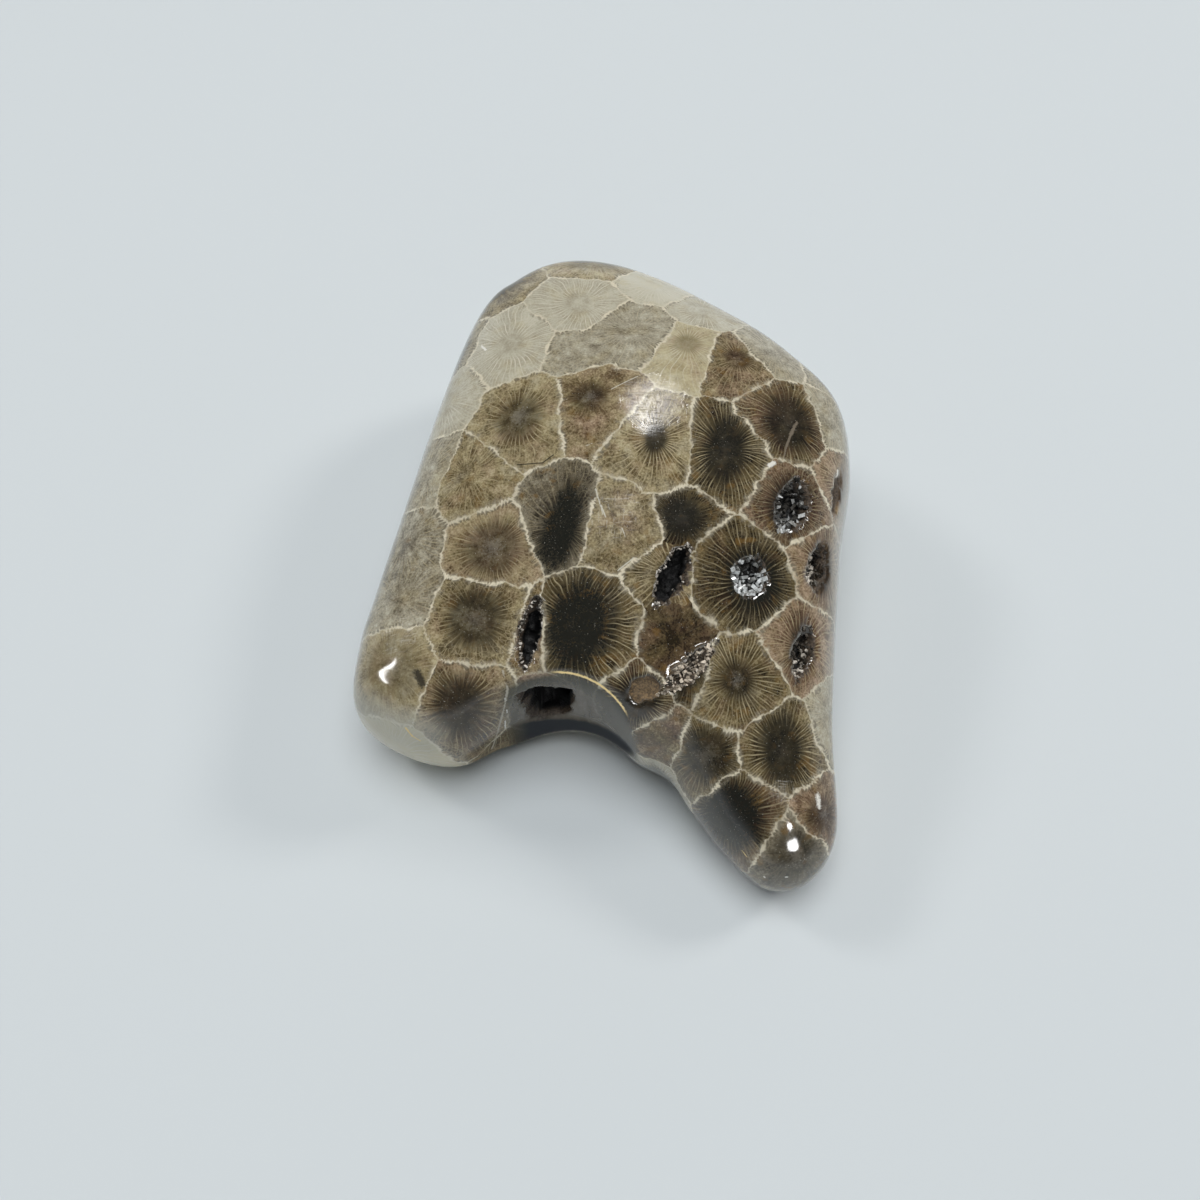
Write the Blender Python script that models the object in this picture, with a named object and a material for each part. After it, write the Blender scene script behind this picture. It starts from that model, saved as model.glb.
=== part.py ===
"""A polished, water-worn pebble of fossil colonial coral with crystal-lined hollows.

Metres, +Z up. The pebble lies on the plane z = 0 and the origin is on its foot. Its long way
runs along Y: a broad rounded back at +Y, and at -Y a short round lobe (left) and a tapering
leg (right) with a scooped notch between them. The notch's wall is undercut by a low arch.
"""
import math
import random

import bmesh
import bpy
import numpy as np
from mathutils import Matrix, Vector

MM = 0.001
OBJECT_NAME = "fossil_coral_pebble"

# Driving dimensions, in millimetres. The widest section seen from above, anticlockwise
# from the right flank; a smooth closed curve runs through these points.
OUTLINE = (
    (23.1, -3.8), (24.8, 5.4), (24.2, 12.2), (20.1, 17.9), (15.1, 22.9), (8.6, 28.2),
    (1.7, 31.5), (-4.6, 31.8), (-9.6, 29.0), (-13.7, 23.3), (-19.0, 3.5), (-21.9, -6.3),
    (-23.3, -12.0), (-23.0, -17.8), (-17.8, -21.3), (-10.4, -22.6), (-4.0, -22.6),
    (4.9, -22.9), (7.9, -26.3), (10.4, -30.3), (14.6, -34.4), (19.6, -33.8),
    (22.7, -28.7), (22.1, -17.8),
)
OUTLINE_STEPS = 6          # straight steps between two outline points
OUTLINE_SWELL = 1.0        # how far the flanks stand out past the outline

# Places on the upper face and its height there: (x, y, height).
UPPER_HEIGHTS = (
    (0, 8, 25.6), (2, 24, 23.1), (-8, 20, 23.1), (16, 12, 24.1), (20, 0, 22.6),
    (-13, 8, 22.6), (-15, -2, 20.6), (2, -6, 23.6), (10, -8, 22.1), (-18, -13, 17.1),
    (-12, -13, 18.6), (-2, -17, 19.1), (8, -19, 18.1), (18, -14, 19.1), (16, -25, 14.1),
    (16, -31, 11.6),
)
HEIGHT_REACH = 6.5         # how far each of those places is felt
FLANK_ROUNDING = 4.2       # softness of the turn from upper face to flank
FOOT_ROUNDING = 4.4        # softness of the turn from flank to underside
FOOT_TRIM = 1.2            # the rounded underside is worn flat this far up

# The notch between lobe and leg: an upright oval scoop, and the arch beneath its wall.
SCOOP_CENTRE = (-4.0, -25.9)
SCOOP_RADII = (8.6, 8.7)
SCOOP_LEAN = 0.03          # the wall leans over the notch by this share of its height
SCOOP_MID_HEIGHT = 10.5    # the height at which the scoop has its stated radii
ARCH_CENTRE = (-1.5, -19.0)
ARCH_REACH = (6.8, 5.2)
ARCH_HEIGHT = 3.8

# The middle from which every point of the surface can be seen, and the search range.
MIDDLE = (0.0, -2.0, 10.0)
NEAREST, FURTHEST = 4.0, 60.0
SEARCH_STEPS = 26
SKY_HEIGHT = 30.0          # a height above all of the stone

# Crystal-lined hollows in the upper face: (name, x, y, length, width, depth, heading).
# The heading is the direction of the long way, in degrees from +X.
HOLLOWS = (
    ("crown_flank", 17.7, -2.1, 5.8, 2.9, 2.4, 72),
    ("right_flank", 20.1, -7.2, 4.8, 2.1, 1.9, 84),
    ("leg_root", 18.3, -15.1, 5.4, 2.0, 1.8, 82),
    ("centre_right", 13.4, -9.2, 3.9, 3.4, 1.6, 70),
    ("middle", 6.4, -9.5, 6.4, 2.4, 2.4, 66),
    ("above_notch", 7.9, -17.4, 6.6, 2.3, 1.9, 48),
    ("beside_notch", -6.2, -14.0, 6.4, 2.3, 2.6, 78),
)
# Rough dimples without crystals of their own, stated in the same way.
DIMPLES = (
    ("rim_dimple", 3.9, -19.0, 3.2, 2.4, 0.7, 30),
    ("right_edge_dimple", 22.6, 0.9, 4.4, 1.4, 0.5, 84),
)
HOLLOW_ROUGHNESS = 0.06    # how far a hollow's wall wanders, as a share of its size

# The square hole in the notch's wall: its middle, its size, and how much narrower its floor
# is than its ceiling.
WALL_HOLE_CENTRE = (-4.8, -16.6, 11.2)
WALL_HOLE_SIZE = (4.8, 7.0, 5.6)
WALL_HOLE_TAPER = 0.25

# The crystal crust inside a hollow.
TOUCHING_GAP = 0.35        # clearance between a crust and the stone it grows on
CRUST_LEVEL = 0.42         # the crust's edge lies this share of the depth below the stone
CRUST_PEAK = 0.34          # the crystals stand up by this share of the depth

BODY_SUBDIVISIONS = 5
HOLLOW_SUBDIVISIONS = 2
SCOOP_SIDES = 64


def closed_curve(points, steps):
    """A Catmull-Rom curve through points, as an array of places."""
    points = np.array(points, dtype=float)
    before = np.roll(points, 1, axis=0)
    after = np.roll(points, -1, axis=0)
    beyond = np.roll(points, -2, axis=0)
    places = []
    for step in range(steps):
        t = step / steps
        place = 2 * points + (after - before) * t
        place += (2 * before - 5 * points + 4 * after - beyond) * t ** 2
        place += (3 * points - before - 3 * after + beyond) * t ** 3
        places.append(place / 2)
    return np.stack(places, axis=1).reshape(-1, 2)


OUTLINE_CURVE = closed_curve(OUTLINE, OUTLINE_STEPS)


def outline_distance(x, y):
    """Distance from the outline seen from above: negative inside it."""
    start = OUTLINE_CURVE
    end = np.roll(start, -1, axis=0)
    run = end - start
    from_x = x[:, None] - start[:, 0]
    from_y = y[:, None] - start[:, 1]
    along = (from_x * run[:, 0] + from_y * run[:, 1]) / (run ** 2).sum(axis=1)
    along = np.clip(along, 0, 1)
    off_x = from_x - along * run[:, 0]
    off_y = from_y - along * run[:, 1]
    distance = np.sqrt((off_x ** 2 + off_y ** 2).min(axis=1))
    spans = (start[:, 1] > y[:, None]) != (end[:, 1] > y[:, None])
    rise = np.where(run[:, 1] == 0, 1, run[:, 1])
    crossing = start[:, 0] + run[:, 0] * from_y / rise
    inside = (spans & (x[:, None] < crossing)).sum(axis=1) % 2 == 1
    return np.where(inside, -distance, distance)


def upper_height(x, y):
    """Height of the upper face, smoothly averaged from the stated places."""
    total = np.zeros_like(x)
    weights = np.zeros_like(x)
    for spot_x, spot_y, height in UPPER_HEIGHTS:
        distance_squared = (x - spot_x) ** 2 + (y - spot_y) ** 2
        weight = np.exp(-distance_squared / (2 * HEIGHT_REACH ** 2)) + 1e-9
        total += weight * height
        weights += weight
    return total / weights


def under_height(x, y):
    """Height of the underside: level, but for the arch beneath the notch."""
    across = (x - ARCH_CENTRE[0]) / ARCH_REACH[0]
    along = (y - ARCH_CENTRE[1]) / ARCH_REACH[1]
    return ARCH_HEIGHT * np.exp(-(across ** 2 + along ** 2)) - FOOT_TRIM


def smooth_max(a, b, softness):
    """The greater of a and b, with a rounded turn from one to the other."""
    return softness * np.logaddexp(a / softness, b / softness)


def form(points):
    """Form of the uncut pebble at points, in mm: negative inside, zero on the surface."""
    x, y, z = points.T
    flank = outline_distance(x, y) - OUTLINE_SWELL
    form_above = smooth_max(flank, z - upper_height(x, y), FLANK_ROUNDING)
    return smooth_max(form_above, under_height(x, y) - z, FOOT_ROUNDING)


def surface_places(directions, middle=MIDDLE):
    """Where rays from the middle leave the form, with the foot worn flat at z = 0."""
    middle = np.array(middle)
    near = np.full(len(directions), NEAREST)
    far = np.full(len(directions), FURTHEST)
    for _ in range(SEARCH_STEPS):
        reach = (near + far) / 2
        inside = form(middle + directions * reach[:, None]) < 0
        near = np.where(inside, reach, near)
        far = np.where(inside, far, reach)
    places = middle + directions * near[:, None]
    places[:, 2] = np.maximum(places[:, 2], 0)
    return places


def upper_place(x, y):
    """The point of the upper face above (x, y) and the surface's normal there."""
    low, high = MIDDLE[2], SKY_HEIGHT
    for _ in range(SEARCH_STEPS):
        z = (low + high) / 2
        inside = form(np.array([[x, y, z]]))[0] < 0
        low, high = (z, high) if inside else (low, z)
    place = np.array([x, y, low])
    probe = np.eye(3) * 0.1
    slope = form(place + probe) - form(place - probe)
    return Vector(place), Vector(slope).normalized()


def stone_material(name, colour, roughness):
    """A plain polished mineral."""
    material = bpy.data.materials.new(name)
    material.use_nodes = True
    surface = material.node_tree.nodes["Principled BSDF"]
    surface.inputs["Base Color"].default_value = (*colour, 1.0)
    surface.inputs["Roughness"].default_value = roughness
    surface.inputs["Metallic"].default_value = 0.0
    material.diffuse_color = (*colour, 1.0)
    return material


def add_object(name, shape, collection, material=None):
    """Turn a bmesh in millimetres into an object in metres."""
    bmesh.ops.scale(shape, vec=(MM, MM, MM), verts=shape.verts)
    mesh = bpy.data.meshes.new(name)
    shape.to_mesh(mesh)
    shape.free()
    made = bpy.data.objects.new(name, mesh)
    collection.objects.link(made)
    if material is not None:
        mesh.materials.append(material)
    return made


def mark_as_cutter(cutter):
    """Keep a cutter out of renders and out of the built part."""
    cutter.hide_render = True
    cutter.display_type = "WIRE"


def make_body(collection, material):
    """The whole pebble before it is cut: a ball drawn out onto the form."""
    shape = bmesh.new()
    bmesh.ops.create_icosphere(shape, subdivisions=BODY_SUBDIVISIONS, radius=1.0)
    directions = np.array([vertex.co.normalized() for vertex in shape.verts])
    for vertex, place in zip(shape.verts, surface_places(directions)):
        vertex.co = Vector(place)
    body = add_object("coral_pebble", shape, collection, material)
    body.data.shade_smooth()
    return body


def make_scoop(collection):
    """The oval cutter of the notch, leaning back under its own rim."""
    height = 2 * SKY_HEIGHT
    flare = SCOOP_LEAN * height / 2 / SCOOP_RADII[1]
    shape = bmesh.new()
    bmesh.ops.create_cone(shape, cap_ends=True, segments=SCOOP_SIDES, radius1=1 + flare,
                          radius2=1 - flare, depth=height)
    bmesh.ops.scale(shape, vec=(*SCOOP_RADII, 1), verts=shape.verts)
    centre = Vector((*SCOOP_CENTRE, SCOOP_MID_HEIGHT))
    bmesh.ops.translate(shape, vec=centre, verts=shape.verts)
    scoop = add_object("notch_scoop", shape, collection)
    mark_as_cutter(scoop)
    return scoop


def hollow_frame(x, y, heading):
    """Placing of a hollow: its long way along the heading, its depth along the normal."""
    place, normal = upper_place(x, y)
    angle = math.radians(heading)
    along = Vector((math.cos(angle), math.sin(angle), 0))
    along = (along - normal * along.dot(normal)).normalized()
    across = normal.cross(along)
    frame = Matrix((along, across, normal)).transposed().to_4x4()
    frame.translation = place
    return frame


def make_hollow(hollow, collection):
    """The rough oval cutter of one hollow, half of it above the surface."""
    name, x, y, length, width, depth, heading = hollow
    wander = random.Random(name)
    shape = bmesh.new()
    bmesh.ops.create_icosphere(shape, subdivisions=HOLLOW_SUBDIVISIONS, radius=1.0)
    for vertex in shape.verts:
        vertex.co *= 1 + wander.uniform(-HOLLOW_ROUGHNESS, HOLLOW_ROUGHNESS)
    bmesh.ops.scale(shape, vec=(length / 2, width / 2, depth), verts=shape.verts)
    bmesh.ops.transform(shape, matrix=hollow_frame(x, y, heading), verts=shape.verts)
    mark_as_cutter(add_object(name + "_hollow", shape, collection))


def make_wall_hole(collection):
    """The square hole in the notch's wall, wider at its ceiling, with a rough inside."""
    wander = random.Random("wall_hole")
    width, depth, height = WALL_HOLE_SIZE
    shape = bmesh.new()
    bmesh.ops.create_cube(shape, size=1.0)
    bmesh.ops.bevel(shape, geom=shape.edges[:], offset=0.16, segments=2, affect="EDGES")
    for vertex in shape.verts:
        narrowing = 1 - WALL_HOLE_TAPER * (0.5 - vertex.co.z)
        vertex.co.x *= narrowing * (1 + wander.uniform(-HOLLOW_ROUGHNESS, HOLLOW_ROUGHNESS))
        vertex.co.z *= 1 + wander.uniform(-HOLLOW_ROUGHNESS, HOLLOW_ROUGHNESS)
    bmesh.ops.scale(shape, vec=(width, depth, height), verts=shape.verts)
    bmesh.ops.translate(shape, vec=Vector(WALL_HOLE_CENTRE), verts=shape.verts)
    mark_as_cutter(add_object("wall_hole", shape, collection))


def make_crust(hollow, collection, material):
    """The crystals of one hollow: a closed faceted crust that follows the hollow's floor."""
    name, x, y, length, width, depth, heading = hollow
    wander = random.Random(name + "_crystals")
    clear = 1 - HOLLOW_ROUGHNESS
    half_length = length / 2 * clear - TOUCHING_GAP
    half_width = width / 2 * clear - TOUCHING_GAP
    floor = depth * clear - TOUCHING_GAP
    edge = math.sqrt(1 - CRUST_LEVEL ** 2)
    shape = bmesh.new()
    bmesh.ops.create_icosphere(shape, subdivisions=HOLLOW_SUBDIVISIONS, radius=1.0)
    for vertex in shape.verts:
        unit = vertex.co.normalized()
        radius = math.hypot(unit.x, unit.y) * edge
        if unit.z > 0:
            peak = wander.uniform(-0.5, 1.0) * CRUST_PEAK * unit.z
            height = peak - CRUST_LEVEL
        else:
            height = -math.sqrt(1 - radius ** 2)
        vertex.co = (unit.x * edge * half_length, unit.y * edge * half_width, height * floor)
    bmesh.ops.transform(shape, matrix=hollow_frame(x, y, heading), verts=shape.verts)
    add_object(name + "_crystals", shape, collection, material)


def cut(body, operation_name, **operand):
    """Take a cutter, or a collection of cutters, out of the body."""
    boolean = body.modifiers.new(operation_name, "BOOLEAN")
    boolean.operation = "DIFFERENCE"
    boolean.solver = "EXACT"
    for key, value in operand.items():
        setattr(boolean, key, value)


def clear_scene():
    """Remove the objects that a new file starts with."""
    for existing in list(bpy.data.objects):
        bpy.data.objects.remove(existing, do_unlink=True)


def main():
    """Make the pebble, cut its notch and hollows, and line the hollows with crystals."""
    clear_scene()
    parts = bpy.data.collections.new(OBJECT_NAME)
    cutters = bpy.data.collections.new("notch_cutters")
    hollow_cutters = bpy.data.collections.new("hollow_cutters")
    for collection in (parts, cutters, hollow_cutters):
        bpy.context.scene.collection.children.link(collection)
    coral = stone_material("polished_coral", (0.30, 0.25, 0.18), 0.12)
    calcite = stone_material("calcite_crystal", (0.62, 0.58, 0.53), 0.25)
    body = make_body(parts, coral)
    scoop = make_scoop(cutters)
    for hollow in HOLLOWS + DIMPLES:
        make_hollow(hollow, hollow_cutters)
    make_wall_hole(hollow_cutters)
    cut(body, "notch", operand_type="OBJECT", object=scoop)
    cut(body, "hollows", operand_type="COLLECTION", collection=hollow_cutters)
    for hollow in HOLLOWS:
        make_crust(hollow, parts, calcite)


main()
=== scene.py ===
"""Looks of a polished, water-worn pebble of fossil colonial coral.

The solid model is loaded as a fixed frame. The pebble's fine surface is traced from the same
smooth form as the solid, its polygonal cells are painted by nodes from each cell's own seed
and axis, and every hollow is lined with small separate crystals. Lengths are millimetres
here, and metres once a piece is in the scene.
"""
import logging
import math
import random
from collections.abc import Callable
from dataclasses import dataclass
from enum import Enum

import bmesh
import bpy
import numpy as np
from mathutils import Matrix, Vector


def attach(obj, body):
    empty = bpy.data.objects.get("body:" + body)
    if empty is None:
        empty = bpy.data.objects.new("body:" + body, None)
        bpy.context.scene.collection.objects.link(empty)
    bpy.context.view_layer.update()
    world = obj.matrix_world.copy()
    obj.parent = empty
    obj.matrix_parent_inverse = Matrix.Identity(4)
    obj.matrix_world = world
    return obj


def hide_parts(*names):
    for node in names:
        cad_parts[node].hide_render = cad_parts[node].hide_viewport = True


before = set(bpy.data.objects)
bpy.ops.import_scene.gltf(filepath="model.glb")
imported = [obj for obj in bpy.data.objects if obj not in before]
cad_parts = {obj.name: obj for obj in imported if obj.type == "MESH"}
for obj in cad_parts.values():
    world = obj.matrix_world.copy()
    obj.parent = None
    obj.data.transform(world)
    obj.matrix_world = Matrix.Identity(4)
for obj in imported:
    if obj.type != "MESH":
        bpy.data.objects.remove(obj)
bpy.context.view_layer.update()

LOG = logging.getLogger("coral_pebble")
MM = 0.001
BODY = "root"

Array = np.ndarray
Field = Callable[[Array], Array]
Socket = bpy.types.NodeSocket
Colour = tuple[float, float, float]
Place = tuple[float, float, float]


class Slot(Enum):
    """The finishes that the part's record names."""

    STONE = "polished_coral"
    CRYSTAL = "calcite_crystal"


class Tone(Enum):
    """How dark the stone of one cell is, from 0, pale, to 1, dark."""

    MILKY = 0.0
    PALE = 0.15
    BEIGE = 0.3
    SAND = 0.37
    OLIVE = 0.45
    BROWN = 0.6
    DEEP = 0.7
    UMBER = 0.8


class Tint(Enum):
    """The hue of one cell, from -1, grey, over 0, olive, to 1, red-brown."""

    GREY = -1.0
    OLIVE = 0.0
    TAN = 0.45
    ROSY = 1.0


class Shade(Enum):
    """How dark the middle of one cell is."""

    NONE = 0.0
    FAINT = 0.3
    SOFT = 0.55
    DEEP = 0.68
    DARK = 0.8
    BLACK = 1.0


class Lining(Enum):
    """A hollow's crystals: (share of pale ones, crowding, deepest foot, size, warmth)."""

    WHITE = (0.8, 1.0, 3.0, 1.35, 0.0)
    SILVER = (0.4, 0.9, 3.0, 1.4, 0.1)
    ROSY = (0.3, 0.9, 3.0, 1.15, 0.6)
    CREAM = (0.8, 1.15, 3.0, 1.1, 0.8)
    RIM = (0.5, 1.0, 0.5, 0.65, 0.5)


class Mark(Enum):
    """The colour of a small mark in the polish: a real chip, scratch, vein or cell wall, or a painted
    glint, golden highlight or shadow.
    """

    # the colour of real chips, and of painted glints
    CHIP_AND_GLINT = (0.80, 0.77, 0.70)
    SCRATCH = (0.56, 0.53, 0.44)
    # a painted golden highlight
    GOLDEN_GLINT = (0.72, 0.55, 0.22)
    SHADOW = (0.030, 0.026, 0.020)
    WALL = (0.42, 0.38, 0.30)
    VEIN = (0.19, 0.155, 0.115)


@dataclass(frozen=True)
class Core:
    """The dark middle of a cell: its shade, radius, stretch, heading and shift in plan."""

    shade: Shade = Shade.FAINT
    radius: float = 1.6
    stretch: float = 1.0
    heading: float = 90.0
    shift: tuple[float, float] = (0.0, 0.0)


@dataclass(frozen=True)
class Corallite:
    """One cell of the colony, where it reaches the surface."""

    place: Place
    size: float = 0.0
    tone: Tone = Tone.OLIVE
    tint: Tint = Tint.OLIVE
    core: Core = Core(Shade.NONE)
    mesh: float = 0.5
    septa: float = 0.7
    ring: float = 3.2
    family: int = 0


@dataclass(frozen=True)
class Fleck:
    """A short stroke in the polish, from one place to another."""

    mark: Mark
    start: Place
    end: Place
    half_width: float = 0.06


@dataclass(frozen=True)
class WornSpot:
    """A round place where the polish is scratched and dull."""

    place: Place
    radius: float


@dataclass(frozen=True)
class Hollow:
    """An almond-shaped hollow in the upper face, with its long way along the heading."""

    name: str
    x: float
    y: float
    length: float
    width: float
    depth: float
    heading: float
    lining: Lining | None = None
    # heading of the side whose crystals are made paler as if lit: painted light
    lit: float = -60.0


def smooth_max(a: Array, b: Array, softness: float | Array) -> Array:
    """Take the greater of two forms, with a rounded turn between them.

    Args:
        a: Values of the first form.
        b: Values of the second form.
        softness: How wide the rounded turn is.

    Returns:
        The joined form's values.
    """
    return softness * np.logaddexp(a / softness, b / softness)


def ease(value: Array, low: float, high: float) -> Array:
    """Rise smoothly from 0 at low to 1 at high."""
    share = np.clip((value - low) / (high - low), 0, 1)
    return share * share * (3 - 2 * share)


def unit(vectors: Array) -> Array:
    """Scale each row to length 1."""
    return vectors / np.linalg.norm(vectors, axis=-1, keepdims=True)


def placed(name: str, data: bpy.types.ID) -> bpy.types.Object:
    """Put an object with this data in the scene."""
    made = bpy.data.objects.new(name, data)
    bpy.context.scene.collection.objects.link(made)
    return made


def meshed(name: str, shape: bmesh.types.BMesh) -> bpy.types.Object:
    """Put an object with this shape in the scene."""
    mesh = bpy.data.meshes.new(name)
    shape.to_mesh(mesh)
    shape.free()
    return placed(name, mesh)


def read(items: bpy.types.bpy_prop_collection, name: str) -> Array:
    """Read one vector for each of a mesh's vertices or faces."""
    values = np.empty(len(items) * 3)
    items.foreach_get(name, values)
    return values.reshape(-1, 3)


class Ripple:
    """A smooth random field made of a few seeded waves, for worn and broken edges."""

    def __init__(self, name: str, wavelength: float, waves: int = 9) -> None:
        """Draw the waves.

        Args:
            name: Seed of the random draws.
            wavelength: Middle wavelength, in millimetres.
            waves: Number of waves added up.
        """
        wander = random.Random(name)
        self.waves = np.array([
            [wander.gauss(0, 1), wander.gauss(0, 1), wander.gauss(0, 1)] for _ in range(waves)
        ])
        lengths = [wavelength * wander.uniform(0.6, 1.7) for _ in range(waves)]
        self.waves = unit(self.waves) * (2 * math.pi / np.array(lengths))[:, None]
        self.phases = np.array([wander.uniform(0, 2 * math.pi) for _ in range(waves)])

    def at(self, points: Array) -> Array:
        """Give the field's value, mostly from -1 to 1, at each point."""
        return np.sin(points @ self.waves.T + self.phases).sum(axis=1) / math.sqrt(len(self.phases))


@dataclass(frozen=True)
class PebbleForm:
    """The pebble's form as a smooth field: negative inside it, zero on its surface."""

    outline: tuple[tuple[float, float], ...] = (
        (23.1, -3.8), (24.8, 5.4), (24.2, 12.2), (20.1, 17.9), (15.1, 22.9), (8.6, 28.2),
        (1.7, 31.5), (-4.6, 31.8), (-9.6, 29.0), (-13.7, 23.3), (-19.0, 3.5), (-21.9, -6.3),
        (-23.3, -12.0), (-23.0, -17.8), (-17.8, -21.3), (-10.4, -22.6), (-4.0, -22.6),
        (4.9, -22.9), (7.9, -26.3), (10.4, -30.3), (14.6, -34.4), (19.6, -33.8),
        (22.7, -28.7), (22.1, -17.8),
    )
    outline_steps: int = 8
    outline_swell: float = 0.94
    upper_heights: tuple[Place, ...] = (
        (0, 8, 25.6), (2, 24, 23.1), (-8, 20, 23.1), (16, 12, 24.1), (20, 0, 22.6),
        (-13, 8, 22.6), (-15, -2, 20.6), (2, -6, 23.6), (10, -8, 22.1), (-18, -13, 17.1),
        (-12, -13, 18.6), (-2, -17, 19.1), (8, -19, 18.1), (18, -14, 19.1), (16, -25, 14.1),
        (16, -31, 11.6),
    )
    height_reach: float = 6.5
    flank_rounding: float = 4.2
    foot_rounding: float = 4.4
    foot_trim: float = 1.2
    foot_edge: float = 0.25
    ridge_softness: float = 1.5
    arch_centre: tuple[float, float] = (-1.5, -19.0)
    arch_reach: tuple[float, float] = (6.8, 5.2)
    arch_height: float = 3.8
    scoop_centre: tuple[float, float] = (-4.0, -25.9)
    scoop_radii: tuple[float, float] = (8.6, 8.7)
    scoop_lean: float = 0.03
    scoop_mid_height: float = 10.5
    scoop_rim: float = 0.4
    scoop_rim_left: float = 0.9
    scoop_left: float = -9.0
    middle: Place = (0.0, -2.0, 10.0)
    hollows: tuple[Hollow, ...] = (
        Hollow("crown_flank", 17.7, -2.1, 5.8, 2.9, 2.4, 72, Lining.SILVER),
        Hollow("right_flank", 20.1, -7.2, 4.8, 2.1, 1.9, 84, Lining.ROSY, -120),
        Hollow("leg_root", 18.3, -15.1, 5.4, 2.0, 1.8, 82, Lining.ROSY),
        Hollow("centre_right", 13.4, -9.2, 3.9, 3.4, 1.6, 70, Lining.WHITE, -115),
        Hollow("middle", 6.4, -9.5, 6.4, 2.2, 2.4, 66, Lining.RIM, 140),
        Hollow("above_notch", 7.9, -17.4, 6.4, 1.9, 0.9, 48, Lining.CREAM),
        Hollow("beside_notch", -6.2, -14.0, 6.2, 2.0, 2.6, 78, Lining.RIM, 190),
    )
    dimples: tuple[Hollow, ...] = (
        Hollow("rim_dimple", 3.9, -19.0, 3.2, 2.4, 0.7, 30),
        Hollow("right_edge_dimple", 22.6, 0.9, 4.4, 1.4, 0.5, 84),
    )
    hollow_edge: float = 0.1
    hollow_wander: float = 0.16
    wall_hole_centre: Place = (-4.4, -16.6, 11.2)
    wall_hole_size: Place = (4.2, 6.6, 5.6)
    wall_hole_taper: float = 0.25

    CHUNK = 12000
    NEAREST, FURTHEST = 3.0, 60.0
    TRACE_STEPS = 40
    PROBE = 0.02
    SKY = 30.0
    HALVINGS = 26

    def curve(self) -> tuple[Array, Array]:
        """Work out the smooth outline.

        Returns:
            The cubic's coefficients for each span, and sample places along every span.
        """
        points = np.array(self.outline, dtype=float)
        before = np.roll(points, 1, axis=0)
        after = np.roll(points, -1, axis=0)
        beyond = np.roll(points, -2, axis=0)
        cubic = np.stack((
            2 * points,
            after - before,
            2 * before - 5 * points + 4 * after - beyond,
            3 * points - before - 3 * after + beyond,
        )) / 2
        shares = np.arange(self.outline_steps) / self.outline_steps
        powers = np.stack([shares ** power for power in range(4)], axis=1)
        samples = np.einsum("sp,pnc->nsc", powers, cubic).reshape(-1, 2)
        return cubic, samples

    def outline_distance(self, plan: Array) -> Array:
        """Measure how far places in plan are outside the outline, softly along its middle.

        Args:
            plan: Places seen from above, one in each row.

        Returns:
            The distance of each place, negative inside the outline.
        """
        cubic, samples = self.curve()
        lengths = np.linalg.norm(np.roll(samples, -1, axis=0) - samples, axis=1)
        parts = [
            self._outline_part(plan[start:start + self.CHUNK], cubic, samples, lengths)
            for start in range(0, len(plan), self.CHUNK)
        ]
        return np.concatenate(parts)

    def _outline_part(self, plan: Array, cubic: Array, samples: Array, lengths: Array) -> Array:
        """Do the work of outline_distance for a part of the places."""
        gaps = np.sqrt(
            (plan[:, :1] - samples[:, 0]) ** 2 + (plan[:, 1:] - samples[:, 1]) ** 2
        )
        spans = cubic.shape[1]
        along = gaps.argmin(axis=1) / self.outline_steps
        for _ in range(3):
            span = np.floor(along).astype(int) % spans
            share = (along - np.floor(along))[:, None]
            c0, c1, c2, c3 = cubic[:, span]
            place = c0 + share * (c1 + share * (c2 + share * c3))
            run = c1 + share * (2 * c2 + 3 * share * c3)
            bend = 2 * c2 + 6 * share * c3
            off = place - plan
            speed = (run ** 2).sum(axis=1)
            pull = np.maximum(speed + (off * bend).sum(axis=1), 0.3 * speed)
            step = (off * run).sum(axis=1) / pull
            along = along - np.clip(step, -0.12, 0.12)
        distance = np.linalg.norm(off, axis=1)
        side = run[:, 0] * off[:, 1] - run[:, 1] * off[:, 0]
        inside = side < 0
        soft = self.ridge_softness
        crowd = (np.exp((distance[:, None] - gaps) / soft) * lengths).sum(axis=1)
        usual = np.sqrt(2 * math.pi * soft * np.maximum(distance, 0.5))
        softened = distance - soft * np.log(np.maximum(crowd / usual, 1e-6))
        share = ease(distance, 1.5, 4.5)
        deep = distance * (1 - share) + softened * share
        return np.where(inside, -deep, distance)

    def upper_height(self, plan: Array) -> Array:
        """Give the height of the upper face, smoothly averaged from the stated places."""
        total = np.zeros(len(plan))
        weights = np.zeros(len(plan))
        for spot_x, spot_y, height in self.upper_heights:
            squared = (plan[:, 0] - spot_x) ** 2 + (plan[:, 1] - spot_y) ** 2
            weight = np.exp(-squared / (2 * self.height_reach ** 2)) + 1e-9
            total += weight * height
            weights += weight
        return total / weights

    def under_height(self, plan: Array) -> Array:
        """Give the height of the underside: level, but for the arch under the notch."""
        across = (plan[:, 0] - self.arch_centre[0]) / self.arch_reach[0]
        along = (plan[:, 1] - self.arch_centre[1]) / self.arch_reach[1]
        return self.arch_height * np.exp(-(across ** 2 + along ** 2)) - self.foot_trim

    def scoop(self, points: Array) -> Array:
        """Give the distance outside the notch's oval scoop, negative inside it."""
        across = (points[:, 0] - self.scoop_centre[0]) / self.scoop_radii[0]
        along = (points[:, 1] - self.scoop_centre[1]) / self.scoop_radii[1]
        lean = (points[:, 2] - self.scoop_mid_height) * self.scoop_lean
        return (np.hypot(across, along) - 1) * self.scoop_radii[1] + lean

    def whole(self, points: Array) -> Array:
        """Give the field of the pebble before its notch and hollows are taken out."""
        plan = points[:, :2]
        height = points[:, 2]
        flank = self.outline_distance(plan) - self.outline_swell
        above = smooth_max(flank, height - self.upper_height(plan), self.flank_rounding)
        return smooth_max(above, self.under_height(plan) - height, self.foot_rounding)

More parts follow.
